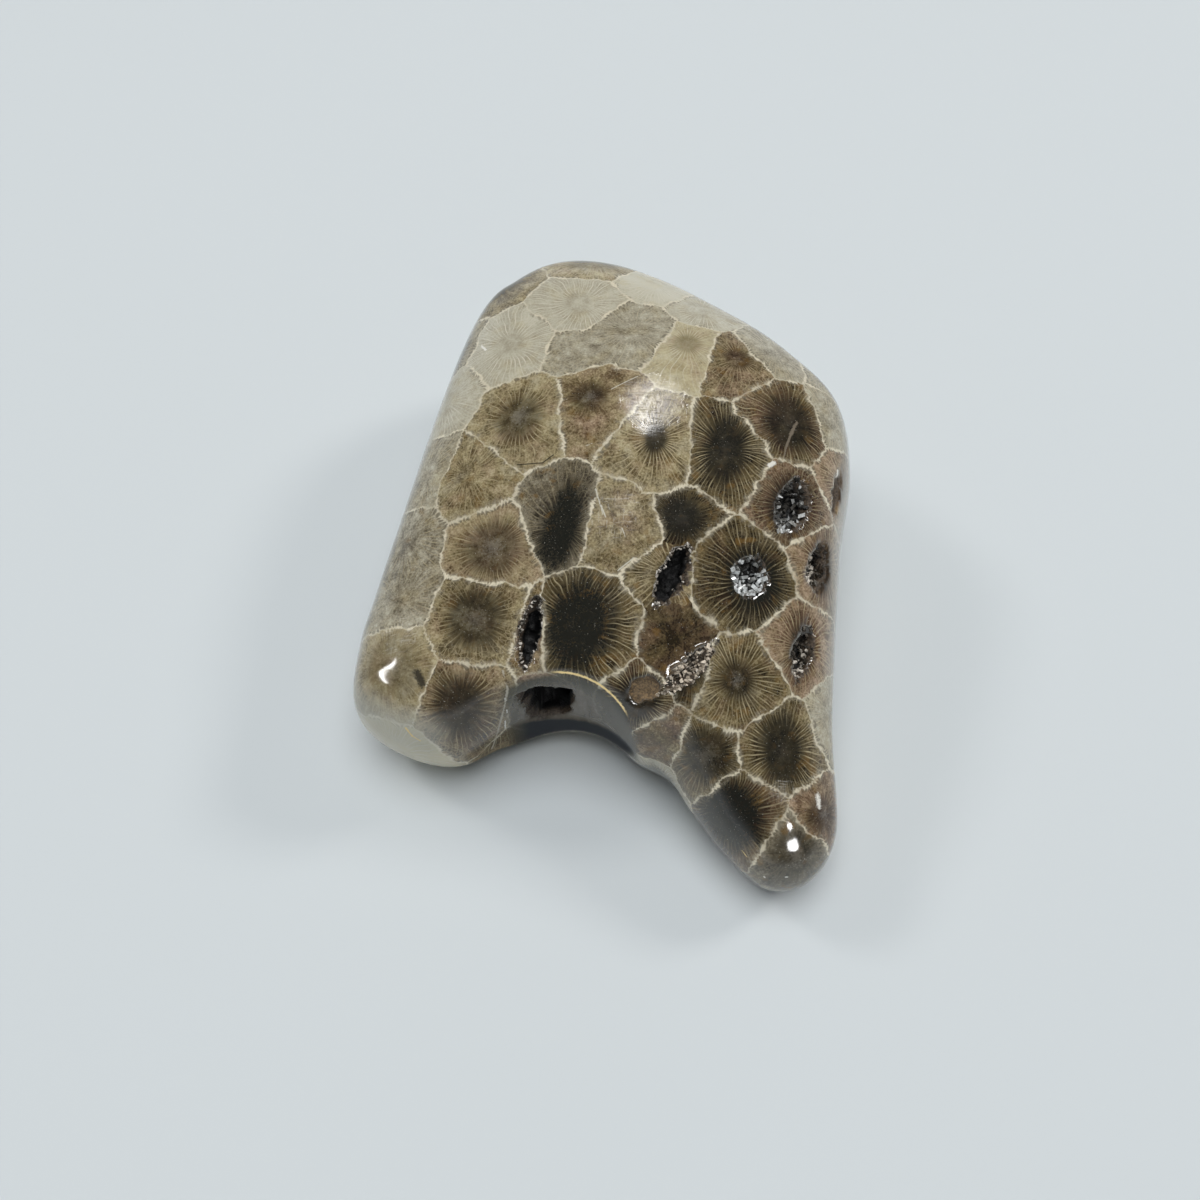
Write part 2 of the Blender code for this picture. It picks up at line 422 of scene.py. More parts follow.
    def uncut(self, points: Array) -> Array:
        """Give the field of the pebble with its notch and foot, but without hollows."""
        left = 1 / (1 + np.exp((points[:, 0] - self.scoop_left) / 0.8))
        rim = self.scoop_rim + self.scoop_rim_left * left
        notched = smooth_max(self.whole(points), -self.scoop(points) - 0.3, rim)
        return smooth_max(notched, -points[:, 2], self.foot_edge)

    def setting(self, x: float, y: float, heading: float) -> tuple[Array, Array]:
        """Find where a hollow sits on the upper face.

        Args:
            x: Place of its middle along X.
            y: Place of its middle along Y.
            heading: Direction of its long way, in degrees from +X.

        Returns:
            Its middle on the surface, and a matrix whose rows are its long way, the way
            across and the surface's normal.
        """
        low, high = self.middle[2], self.SKY
        for _ in range(self.HALVINGS):
            height = (low + high) / 2
            is_inside = self.whole(np.array([[x, y, height]]))[0] < 0
            low, high = (height, high) if is_inside else (low, height)
        place = np.array([x, y, low])
        normal = unit(self.slope(place[None], self.whole))[0]
        angle = math.radians(heading)
        along = np.array([math.cos(angle), math.sin(angle), 0.0])
        along = unit(along - normal * (along @ normal))
        return place, np.stack((along, np.cross(normal, along), normal))

    def hollow_field(self, hollow: Hollow, points: Array) -> Array:
        """Give the distance outside one hollow, negative inside it.

        Args:
            hollow: The hollow, an almond in plan with a bowl-shaped floor.
            points: Places, one in each row.

        Returns:
            The distance of each place from the hollow's wandering wall.
        """
        place, axes = self.setting(hollow.x, hollow.y, hollow.heading)
        along, across, up = ((points - place) @ axes.T).T
        along = along / (hollow.length / 2)
        across = across / (hollow.width / 2)
        up = np.where(up > 0, up * 0.3, up) / hollow.depth
        almond = across ** 2 * (1 + 1.1 * along ** 2)
        reach = np.sqrt(along ** 2 + almond + up ** 2)
        wander = Ripple(hollow.name, 0.9).at(points) * self.hollow_wander
        return (reach - 1) * hollow.width / 2 + wander

    def wall_hole(self, points: Array) -> Array:
        """Give the distance outside the square hole in the notch's wall."""
        across, along, up = ((points - self.wall_hole_centre) / self.wall_hole_size * 2).T
        across = across / (1 - self.wall_hole_taper * (0.5 - up / 2))
        reach = (across ** 6 + along ** 6 + up ** 6) ** (1 / 6)
        wander = Ripple("wall_hole", 1.1).at(points) * self.hollow_wander
        return (reach - 1) * self.wall_hole_size[0] / 2 + wander

    def openings(self, points: Array) -> Array:
        """Give the distance outside the nearest of all hollows."""
        nearest = self.wall_hole(points)
        for hollow in self.hollows + self.dimples:
            nearest = np.minimum(nearest, self.hollow_field(hollow, points))
        return nearest

    def hollowed(self, points: Array) -> Array:
        """Give the field of the finished pebble."""
        return smooth_max(self.uncut(points), -self.openings(points), self.hollow_edge)

    def slope(self, points: Array, field: Field) -> Array:
        """Work out how steeply a field rises at each point, along X, Y and Z."""
        slopes = np.empty_like(points)
        for axis in range(3):
            probe = np.zeros(3)
            probe[axis] = self.PROBE
            slopes[:, axis] = (field(points + probe) - field(points - probe)) / (2 * self.PROBE)
        return slopes

    def settle(self, points: Array, field: Field, rounds: int) -> Array:
        """Move points along the field's slope until they lie on its surface.

        Args:
            points: Places near the surface.
            field: The field whose zero is the surface.
            rounds: How often each point is moved.

        Returns:
            The places on the surface.
        """
        for _ in range(rounds):
            slopes = self.slope(points, field)
            steep = np.maximum((slopes ** 2).sum(axis=1), 0.2)
            move = np.clip(field(points) / steep, -0.6, 0.6)
            points = points - slopes * move[:, None]
        return points

    def trace(self, directions: Array) -> Array:
        """Follow rays from the middle to where they first leave the pebble.

        Args:
            directions: Unit directions, one in each row.

        Returns:
            The place on the surface in each direction.
        """
        reach = np.full(len(directions), self.NEAREST)
        for _ in range(self.TRACE_STEPS):
            depth = self.hollowed(self.middle + directions * reach[:, None])
            reach = np.minimum(reach - depth * 0.8, self.FURTHEST)
        return self.middle + directions * reach[:, None]


class Colony:
    """The coral's cells: chosen ones on the upper face, and more round the flanks."""

    AXIS_SHARE = 0.75
    AXIS_UP = 0.8
    AXIS_OUT = 0.5
    SPACING = 6.3
    FAMILY_NUMBERS = 1000
    TONES = (Tone.PALE, Tone.BEIGE, Tone.OLIVE, Tone.BROWN)
    TINTS = (Tint.GREY, Tint.OLIVE, Tint.TAN)
    SHADES = (Shade.FAINT, Shade.SOFT, Shade.DARK)

    chosen: tuple[Corallite, ...] = (
        # the broad back
        Corallite((-2.0, 21.2, 23.0), 0, Tone.PALE, Tint.GREY, Core(Shade.NONE), 0.1, 0.9),
        Corallite((-8.9, 16.1, 22.5), 2, Tone.PALE, Tint.GREY, Core(Shade.NONE), 0.1, 0.9),
        Corallite((3.3, 16.8, 23.7), 3, Tone.BEIGE, Tint.GREY, Core(Shade.NONE), 0.2, 0.5,
                  family=1),
        Corallite((-2.7, 14.4, 23.8), -8.5, Tone.BEIGE, Tint.GREY,
                  Core(Shade.NONE, shift=(6.0, 2.4)), 0.9, 0.3, ring=5.2, family=1),
        Corallite((8.0, 14.4, 24.0), -2, Tone.PALE, Tint.OLIVE,
                  Core(Shade.FAINT, 1.3, shift=(0.5, 0.8)), 0.7, ring=2.0),
        Corallite((13.1, 13.0, 23.6), -4, Tone.BROWN, Tint.TAN,
                  Core(Shade.FAINT, 1.3, shift=(0.3, 0.5)), 1.0, 0.8, ring=1.9),
        Corallite((5.7, 25.1, 21.7), -4, Tone.MILKY, Tint.GREY),
        Corallite((10.4, 21.0, 22.3), -6, Tone.PALE, Tint.GREY),
        Corallite((17.3, 15.3, 22.3), -3, Tone.BEIGE, Tint.GREY),
        # across the crown, from left to right
        Corallite((-15.3, 11.3, 19.3), 0, Tone.PALE, Tint.GREY),
        Corallite((-7.2, 6.3, 23.1), 7, Tone.SAND, Tint.OLIVE,
                  Core(Shade.SOFT, 2.0, 1.1, 60, (-0.5, 0.4)), 1.0, 0.9, ring=2.9),
        Corallite((-0.7, 6.5, 24.6), 3, Tone.OLIVE, Tint.TAN,
                  Core(Shade.SOFT, 1.4, shift=(-0.2, 1.4)), 0.7, 0.15),
        Corallite((5.1, 2.4, 24.0), 7, Tone.OLIVE, Tint.OLIVE,
                  Core(Shade.DARK, 1.0, 1.5, 80, (0.0, 0.9)), 0.8, 1.0, ring=3.6),
        Corallite((11.4, 2.1, 23.0), 6, Tone.DEEP, Tint.OLIVE,
                  Core(Shade.DARK, 1.8, 1.9, 84, (0.3, 0.8)), 0.3, 0.9),
        Corallite((18.0, 6.6, 22.7), 4, Tone.BROWN, Tint.TAN,
                  Core(Shade.DARK, 2.3, 1.2, 80, (0.0, -0.3)), 0.4, 0.8, ring=3.4),
        Corallite((22.4, 8.0, 20.9), -2, Tone.BEIGE, Tint.GREY),
        # the next row down
        Corallite((-16.8, 3.1, 18.6), 0, Tone.SAND, Tint.GREY),
        Corallite((-12.0, 1.0, 20.8), 2, Tone.OLIVE, Tint.OLIVE,
                  Core(Shade.NONE, 1.2, shift=(-0.6, 0.7)), 0.7, 0.7, ring=2.8),
        Corallite((-4.0, -3.8, 22.0), 3, Tone.BROWN, Tint.GREY,
                  Core(Shade.BLACK, 1.6, 2.5, 70, (0.4, -1.4)), 0.4, 0.4),
        Corallite((2.0, -5.2, 22.5), 2, Tone.OLIVE, Tint.OLIVE, Core(Shade.NONE), 0.8, 0.25,
                  ring=1.7),
        Corallite((7.4, -4.3, 22.3), -3, Tone.UMBER, Tint.OLIVE,
                  Core(Shade.DARK, 1.8), 0.5, 0.2, family=2),
        Corallite((-18.4, -3.4, 17.2), 0, Tone.OLIVE, Tint.GREY, Core(Shade.NONE), 0.1, 0.6,
                  family=3),
        Corallite((-9.7, -5.6, 19.8), 3, Tone.SAND, Tint.TAN,
                  Core(Shade.SOFT, 2.4, 1.0, 90, (-0.2, -0.3)), 0.9, 1.0, ring=2.9),
        Corallite((5.8, -9.7, 21.2), -2, Tone.BROWN, Tint.OLIVE,
                  Core(Shade.NONE, 1.3, 2.0, 66, (0.6, 0.2)), 0.5, 1.0, family=2),
        Corallite((12.5, -9.4, 20.5), 10, Tone.UMBER, Tint.OLIVE,
                  Core(Shade.BLACK, 2.25, 1.1, 110, (1.3, -0.3)), 0.2, 0.6, ring=4.6),
        Corallite((17.5, -2.1, 21.2), 0, Tone.BROWN, Tint.ROSY,
                  Core(Shade.DARK, 1.8, 1.6, 72), 0.7, ring=2.6),
        Corallite((20.5, -7.1, 18.3), -2, Tone.OLIVE, Tint.ROSY,
                  Core(Shade.DARK, 1.3, 1.8, 84), 0.4),
        Corallite((23.2, 1.9, 18.3), -2, Tone.OLIVE, Tint.ROSY, Core(Shade.SOFT, 0.9, 2.0, 84)),
        # above the notch
        Corallite((-18.6, -9.7, 16.8), -2, Tone.SAND, Tint.GREY, Core(Shade.NONE), 0.1, 0.5,
                  family=3),
        Corallite((-11.3, -12.6, 18.3), 4, Tone.OLIVE, Tint.OLIVE,
                  Core(Shade.DEEP, 2.3, 1.2, 95, (0.0, 0.2)), 1.0, 0.9, ring=2.7),
        Corallite((-6.2, -14.1, 18.8), -11, Tone.BROWN, Tint.TAN, Core(Shade.NONE), 1.0,
                  ring=1.4),
        Corallite((-0.7, -14.1, 19.5), 8, Tone.BROWN, Tint.OLIVE,
                  Core(Shade.BLACK, 2.9, 1.3, 75, (-1.2, 0.3)), 0.4, 1.0, ring=5.5),
        Corallite((6.4, -15.1, 19.1), 0, Tone.UMBER, Tint.TAN, Core(Shade.NONE), 0.3, 0.1,
                  family=2),
        Corallite((8.3, -17.3, 17.9), -6, Tone.UMBER, Tint.OLIVE,
                  Core(Shade.DARK, 1.3, 2.4, 48, (-0.3, 0.3)), 0.1, 0.3),
        Corallite((18.2, -14.8, 17.0), 2, Tone.OLIVE, Tint.ROSY,
                  Core(Shade.DARK, 1.2, 1.9, 82), 0.4),
        # the lobe
        Corallite((-19.1, -16.1, 16.2), 2, Tone.BEIGE, Tint.OLIVE, Core(Shade.FAINT, 2.6), 0.3, 0.5),
        Corallite((-19.0, -20.6, 6.8), 1, Tone.MILKY, Tint.OLIVE, Core(Shade.NONE), 0.2, 0.7),
        Corallite((-11.8, -19.7, 15.2), 1, Tone.OLIVE, Tint.TAN,
                  Core(Shade.DARK, 2.2, 1.1, 90, (-0.6, 0.1)), 0.9, 1.0, ring=3.0),
        # the notch's rim and the leg
        Corallite((-4.8, -17.6, 10.8), -2, Tone.BROWN, Tint.ROSY, Core(Shade.NONE), 0.2, 0.2),
        Corallite((3.3, -19.6, 16.4), -3, Tone.UMBER, Tint.TAN,
                  Core(Shade.DARK, 1.6, 1.3, 30), 0.3, 0.9, ring=2.6),
        Corallite((12.5, -18.5, 17.1), 4, Tone.BROWN, Tint.OLIVE,
                  Core(Shade.SOFT, 1.5, shift=(-0.4, 0.5)), 0.3, 0.8, ring=3.6),
        Corallite((9.4, -24.0, 13.2), -2, Tone.BROWN, Tint.OLIVE,
                  Core(Shade.DEEP, 2.0, shift=(0.2, 0.6)), 0.3, 0.5),
        Corallite((16.1, -23.3, 14.2), 3, Tone.BROWN, Tint.OLIVE,
                  Core(Shade.DARK, 1.8, 1.6, 100, (0.1, -0.3)), 0.6, 1.0, ring=3.2),
        Corallite((12.2, -28.4, 11.0), 3, Tone.BROWN, Tint.TAN,
                  Core(Shade.BLACK, 2.4, 1.3, 130, (-0.6, 0.0)), 0.3, 0.7),
        Corallite((17.3, -31.7, 10.0), -1, Tone.BROWN, Tint.GREY, Core(Shade.SOFT, 1.8), 0.1, 0.1),
        Corallite((19.9, -28.2, 10.6), -3, Tone.OLIVE, Tint.ROSY, Core(Shade.SOFT, 1.4), 0.1, 0.2),
        Corallite((21.1, -19.2, 12.1), -3, Tone.BEIGE, Tint.GREY, Core(Shade.NONE), 0.3),
        Corallite((5.5, -21.8, 13.6), -6, Tone.BROWN, Tint.TAN, Core(Shade.NONE), 0.1, 0.0),
    )

    def __init__(self, form: PebbleForm) -> None:
        """Place the chosen cells on the form.

        Args:
            form: The pebble that the colony fills.
        """
        self.form = form
        self.cells = list(self.chosen)
        places = np.array([cell.place for cell in self.cells])
        self.places = form.settle(places, form.uncut, 4)
        self.axes = self._axes(self.places)

    def _axes(self, places: Array) -> Array:
        """Work out each cell's own axis: upright, and leaning out with the surface."""
        normals = unit(self.form.slope(places, self.form.uncut))
        return unit(normals * self.AXIS_OUT + np.array([0, 0, self.AXIS_UP]))

    def _reach(self, points: Array, number: int) -> Array:
        """Measure how far points are from one cell, less along its axis than across it."""
        gap = points - self.places[number]
        along = gap @ self.axes[number]
        return (gap ** 2).sum(axis=1) - self.AXIS_SHARE * along ** 2 - self.cells[number].size

    def fill(self, points: Array) -> None:
        """Add cells where the surface is still bare, each as far off as it can be.

        Args:
            points: Places all over the surface.
        """
        wander = random.Random("colony")
        reach = np.min([self._reach(points, n) for n in range(len(self.cells))], axis=0)
        while reach.max() > self.SPACING ** 2:
            place = points[reach.argmax()]
            core = Core(wander.choice(self.SHADES), wander.uniform(1.3, 2.4),
                        wander.uniform(1.0, 1.5), wander.uniform(0, 180))
            self.cells.append(Corallite(
                tuple(place), wander.uniform(-3, 4), wander.choice(self.TONES),
                wander.choice(self.TINTS), core, wander.uniform(0.1, 0.9),
                wander.uniform(0.4, 1.0), wander.uniform(2.4, 3.6),
            ))
            self.places = np.vstack((self.places, place))
            self.axes = np.vstack((self.axes, self._axes(place[None])))
            reach = np.minimum(reach, self._reach(points, len(self.cells) - 1))

    def nearest(self, points: Array) -> Array:
        """Find the three cells nearest to each point, the nearest first."""
        reaches = np.stack([self._reach(points, n) for n in range(len(self.cells))], axis=1)
        return np.argsort(reaches, axis=1)[:, :3]

    def rows(self) -> dict[str, Array]:
        """Tabulate what the stone's nodes have to know about each cell.

        Returns:
            For each attribute's name, one vector for each cell.
        """
        wander = random.Random("septa")
        names = ("seed", "axis", "long", "core", "look", "line", "band")
        rows: dict[str, list[Array | tuple[float, ...]]] = {name: [] for name in names}
        shifts = np.array([(*cell.core.shift, 0.0) for cell in self.cells])
        cores = self.form.settle(self.places + shifts, self.form.whole, 4)
        for number, (cell, axis) in enumerate(zip(self.cells, self.axes)):
            angle = math.radians(cell.core.heading)
            heading = np.array([math.cos(angle), math.sin(angle), 0.0])
            along = unit(heading - axis * (heading @ axis))
            family = cell.family + self.FAMILY_NUMBERS if cell.family else number
            rows["seed"].append(self.places[number])
            rows["axis"].append(axis * (1 + cell.size * CoralStone.SIZE_IN_AXIS))
            rows["long"].append(along * cell.core.stretch)
            rows["core"].append(cores[number])
            rows["look"].append((cell.tone.value, cell.tint.value, cell.core.shade.value))
            rows["line"].append((cell.mesh, cell.septa, wander.random()))
            rows["band"].append((cell.core.radius, cell.ring, family))
        return {key: np.array(row) for key, row in rows.items()}

@dataclass(frozen=True)
class Wire:
    """One output of a node: a colour, or the base of numbers and arrows."""

    sheet: "NodeSheet"
    socket: Socket


class Number(Wire):
    """A number that the nodes work out, written in formulas like a plain one."""

    def __add__(self, other: "Value") -> "Number":
        """Add a number."""
        return self.sheet.math("ADD", self, other)

    def __sub__(self, other: "Value") -> "Number":
        """Take a number away."""
        return self.sheet.math("SUBTRACT", self, other)

    def __rsub__(self, other: "Value") -> "Number":
        """Take this away from a number."""
        return self.sheet.math("SUBTRACT", other, self)

    def __mul__(self, other: "Value") -> "Number":
        """Multiply by a number."""
        return self.sheet.math("MULTIPLY", self, other)

    def __truediv__(self, other: "Value") -> "Number":
        """Divide by a number."""
        return self.sheet.math("DIVIDE", self, other)

    def __lt__(self, other: "Value") -> "Number":
        """Give 1 where this is less than the other, and 0 elsewhere."""
        return self.sheet.math("LESS_THAN", self, other)

    def __abs__(self) -> "Number":
        """Drop the sign."""
        return self.sheet.math("ABSOLUTE", self)

    def most(self, other: "Value") -> "Number":
        """Take the greater number."""
        return self.sheet.math("MAXIMUM", self, other)

    def least(self, other: "Value") -> "Number":
        """Take the smaller number."""
        return self.sheet.math("MINIMUM", self, other)

    def slide(self, start: float, end: float, low: float = 0.0, high: float = 1.0) -> "Number":
        """Go smoothly from low to high as this goes from start to end."""
        made = self.sheet.node("ShaderNodeMapRange", dict(enumerate((self, start, end, low, high))),
                               interpolation_type="SMOOTHSTEP")
        return Number(self.sheet, made.outputs[0])


class Arrow(Wire):
    """A place or a direction, written in formulas like a plain vector."""

    def __add__(self, other: "Value") -> "Arrow":
        """Add a vector."""
        return self.sheet.vector("ADD", self, other)

    def __sub__(self, other: "Value") -> "Arrow":
        """Take a vector away."""
        return self.sheet.vector("SUBTRACT", self, other)

    def __mul__(self, factor: "Value") -> "Arrow":
        """Scale by a number."""
        made = self.sheet.node("ShaderNodeVectorMath", {0: self, "Scale": factor},
                               operation="SCALE")
        return Arrow(self.sheet, made.outputs["Vector"])

    def cross(self, other: "Value") -> "Arrow":
        """Give the direction square to this and another vector."""
        return self.sheet.vector("CROSS_PRODUCT", self, other)

    def unit(self) -> "Arrow":
        """Scale to length 1."""
        return self.sheet.vector("NORMALIZE", self)

    def dot(self, other: "Value") -> Number:
        """Give the length along another vector, times that vector's length."""
        return self.sheet.measure("DOT_PRODUCT", self, other)

    def length(self) -> Number:
        """Give the length."""
        return self.sheet.measure("LENGTH", self)

    def parts(self) -> list[Number]:
        """Take the vector apart."""
        made = self.sheet.node("ShaderNodeSeparateXYZ", {0: self})
        return [Number(self.sheet, output) for output in made.outputs]


Value = Wire | float | tuple[float, ...]


class NodeSheet:
    """A material's node tree, with one short call for each kind of node."""

    def __init__(self, name: str) -> None:
        """Start a material.

        Args:
            name: The material's name.
        """
        self.material = bpy.data.materials.new(name)
        self.material.use_nodes = True
        self.tree = self.material.node_tree
        self.surface = self.tree.nodes["Principled BSDF"].inputs

    def feed(self, socket: Socket, value: Value) -> None:
        """Link a wire into a socket, or set the socket's value.

        Args:
            socket: An input of a node.
            value: The wire, the number, the vector, or a colour's three parts.
        """
        if isinstance(value, Wire):
            self.tree.links.new(value.socket, socket)
        elif socket.type == "RGBA":
            socket.default_value = (*value, 1)
        else:
            socket.default_value = value

    def node(self, kind: str, values: dict[int | str, Value], **settings: str) -> bpy.types.Node:
        """Add a node.

        Args:
            kind: The node's type.
            values: What goes into its inputs, by number or name.
            **settings: The node's own settings.

        Returns:
            The new node.
        """
        made = self.tree.nodes.new(kind)
        for key, value in settings.items():
            setattr(made, key, value)
        for key, value in values.items():
            self.feed(made.inputs[key], value)
        return made

    def math(self, operation: str, *values: Value) -> Number:
        """Work out a number."""
        made = self.node("ShaderNodeMath", dict(enumerate(values)), operation=operation)
        return Number(self, made.outputs[0])

    def vector(self, operation: str, *values: Value) -> Arrow:
        """Work out a vector from vectors."""
        made = self.node("ShaderNodeVectorMath", dict(enumerate(values)), operation=operation)
        return Arrow(self, made.outputs["Vector"])

    def measure(self, operation: str, *values: Value) -> Number:
        """Work out a number from vectors."""
        made = self.node("ShaderNodeVectorMath", dict(enumerate(values)), operation=operation)
        return Number(self, made.outputs["Value"])

    def pick(self, factor: Value, first: Value, second: Value) -> Number:
        """Take the first number at factor 0 and the second at 1."""
        made = self.node("ShaderNodeMix", {0: factor, 2: first, 3: second}, data_type="FLOAT")
        return Number(self, made.outputs[0])

    def pick_arrow(self, factor: Value, first: Value, second: Value) -> Arrow:
        """Take the first vector at factor 0 and the second at 1."""
        made = self.node("ShaderNodeMix", {0: factor, 4: first, 5: second}, data_type="VECTOR")
        return Arrow(self, made.outputs[1])

    def tinge(self, factor: Value, first: Value, second: Value, how: str = "MIX") -> Wire:
        """Lay a second colour over a first one."""
        made = self.node("ShaderNodeMix", {0: factor, 6: first, 7: second}, data_type="RGBA",
                         blend_type=how)
        return Wire(self, made.outputs[2])

    def noise(self, place: Arrow, scale: float, detail: float = 2.0, roughness: float = 0.5,
              output: str = "Fac") -> Number:
        """Give a smooth random number."""
        values = {"Vector": place, "Scale": scale, "Detail": detail, "Roughness": roughness}
        return Number(self, self.node("ShaderNodeTexNoise", values).outputs[output])

    def push(self, place: Arrow, size: float, scale: float, detail: float,
             roughness: float = 0.5) -> Arrow:
        """Give a smooth random push of about the given size, in millimetres."""
        noise = self.noise(place, scale, detail, roughness, "Color")
        return (Arrow(self, noise.socket) - (0.5, 0.5, 0.5)) * size

    def cracks(self, place: Arrow, scale: float) -> Number:
        """Give the distance from the walls of a net of small irregular meshes."""
        values = {"Vector": place, "Scale": scale}
        made = self.node("ShaderNodeTexVoronoi", values, feature="DISTANCE_TO_EDGE")
        return Number(self, made.outputs["Distance"])

    def stored(self, name: str) -> Number:
        """Read a number that the mesh stores."""
        made = self.node("ShaderNodeAttribute", {}, attribute_name=name)
        return Number(self, made.outputs["Fac"])

    def stored_arrow(self, name: str) -> Arrow:
        """Read a vector that the mesh stores."""
        made = self.node("ShaderNodeAttribute", {}, attribute_name=name)
        return Arrow(self, made.outputs["Vector"])

    def place(self) -> Arrow:
        """Give the point that is being painted, in millimetres."""
        made = self.node("ShaderNodeTexCoord", {})
        return Arrow(self, made.outputs["Object"]) * (1 / MM)

    def normal(self) -> Arrow:
        """Give the surface's normal."""
        return Arrow(self, self.node("ShaderNodeNewGeometry", {}).outputs["Normal"])

    def joined(self, x: Value, y: Value, z: Value) -> Arrow:
        """Put a vector together."""
        return Arrow(self, self.node("ShaderNodeCombineXYZ", {0: x, 1: y, 2: z}).outputs[0])

    def near(self, place: Arrow, spot: "WornSpot", core: float) -> Number:
        """Give 1 in the core share of a spot, fading to 0 at its rim."""
        far = self.measure("DISTANCE", place, spot.place)
        return far.slide(spot.radius, spot.radius * core)

    def stroke(self, place: Arrow, start: Place, end: Place) -> Number:
        """Measure the distance from a straight stroke.

        Args:
            place: The point.
            start: Where the stroke starts.
            end: Where it ends.

        Returns:
            The point's distance from the stroke's nearest place.
        """
        way = Vector(end) - Vector(start)
        gap = place - start
        share = gap.dot(tuple(way / way.length_squared)).least(1.0).most(0.0)
        along = self.node("ShaderNodeVectorMath", {0: tuple(way), "Scale": share},
                          operation="SCALE").outputs["Vector"]
        return self.measure("DISTANCE", gap, Arrow(self, along))

    def colours(self, value: Value, stops: tuple[tuple[float, Colour], ...]) -> Wire:
        """Turn a number into a colour.

        Args:
            value: The number.
            stops: Numbers from 0 to 1, each with its colour.

        Returns:
            The colour between the two nearest stops.
        """
        made = self.node("ShaderNodeValToRGB", {0: value})
        elements = made.color_ramp.elements
        for _ in range(len(stops) - 2):
            elements.new(0.5)
        for element, (position, colour) in zip(elements, stops):
            element.position = position
            element.color = (*colour, 1)
        return Wire(self, made.outputs[0])


@dataclass(frozen=True)
class CellWires:
    """What the nodes know about the cell that a point lies in."""

    offset: Arrow
    axis: Arrow
    along: Arrow
    look: Arrow
    line: Arrow
    band: Arrow
    edge: Number
    run: Number
    side: Number


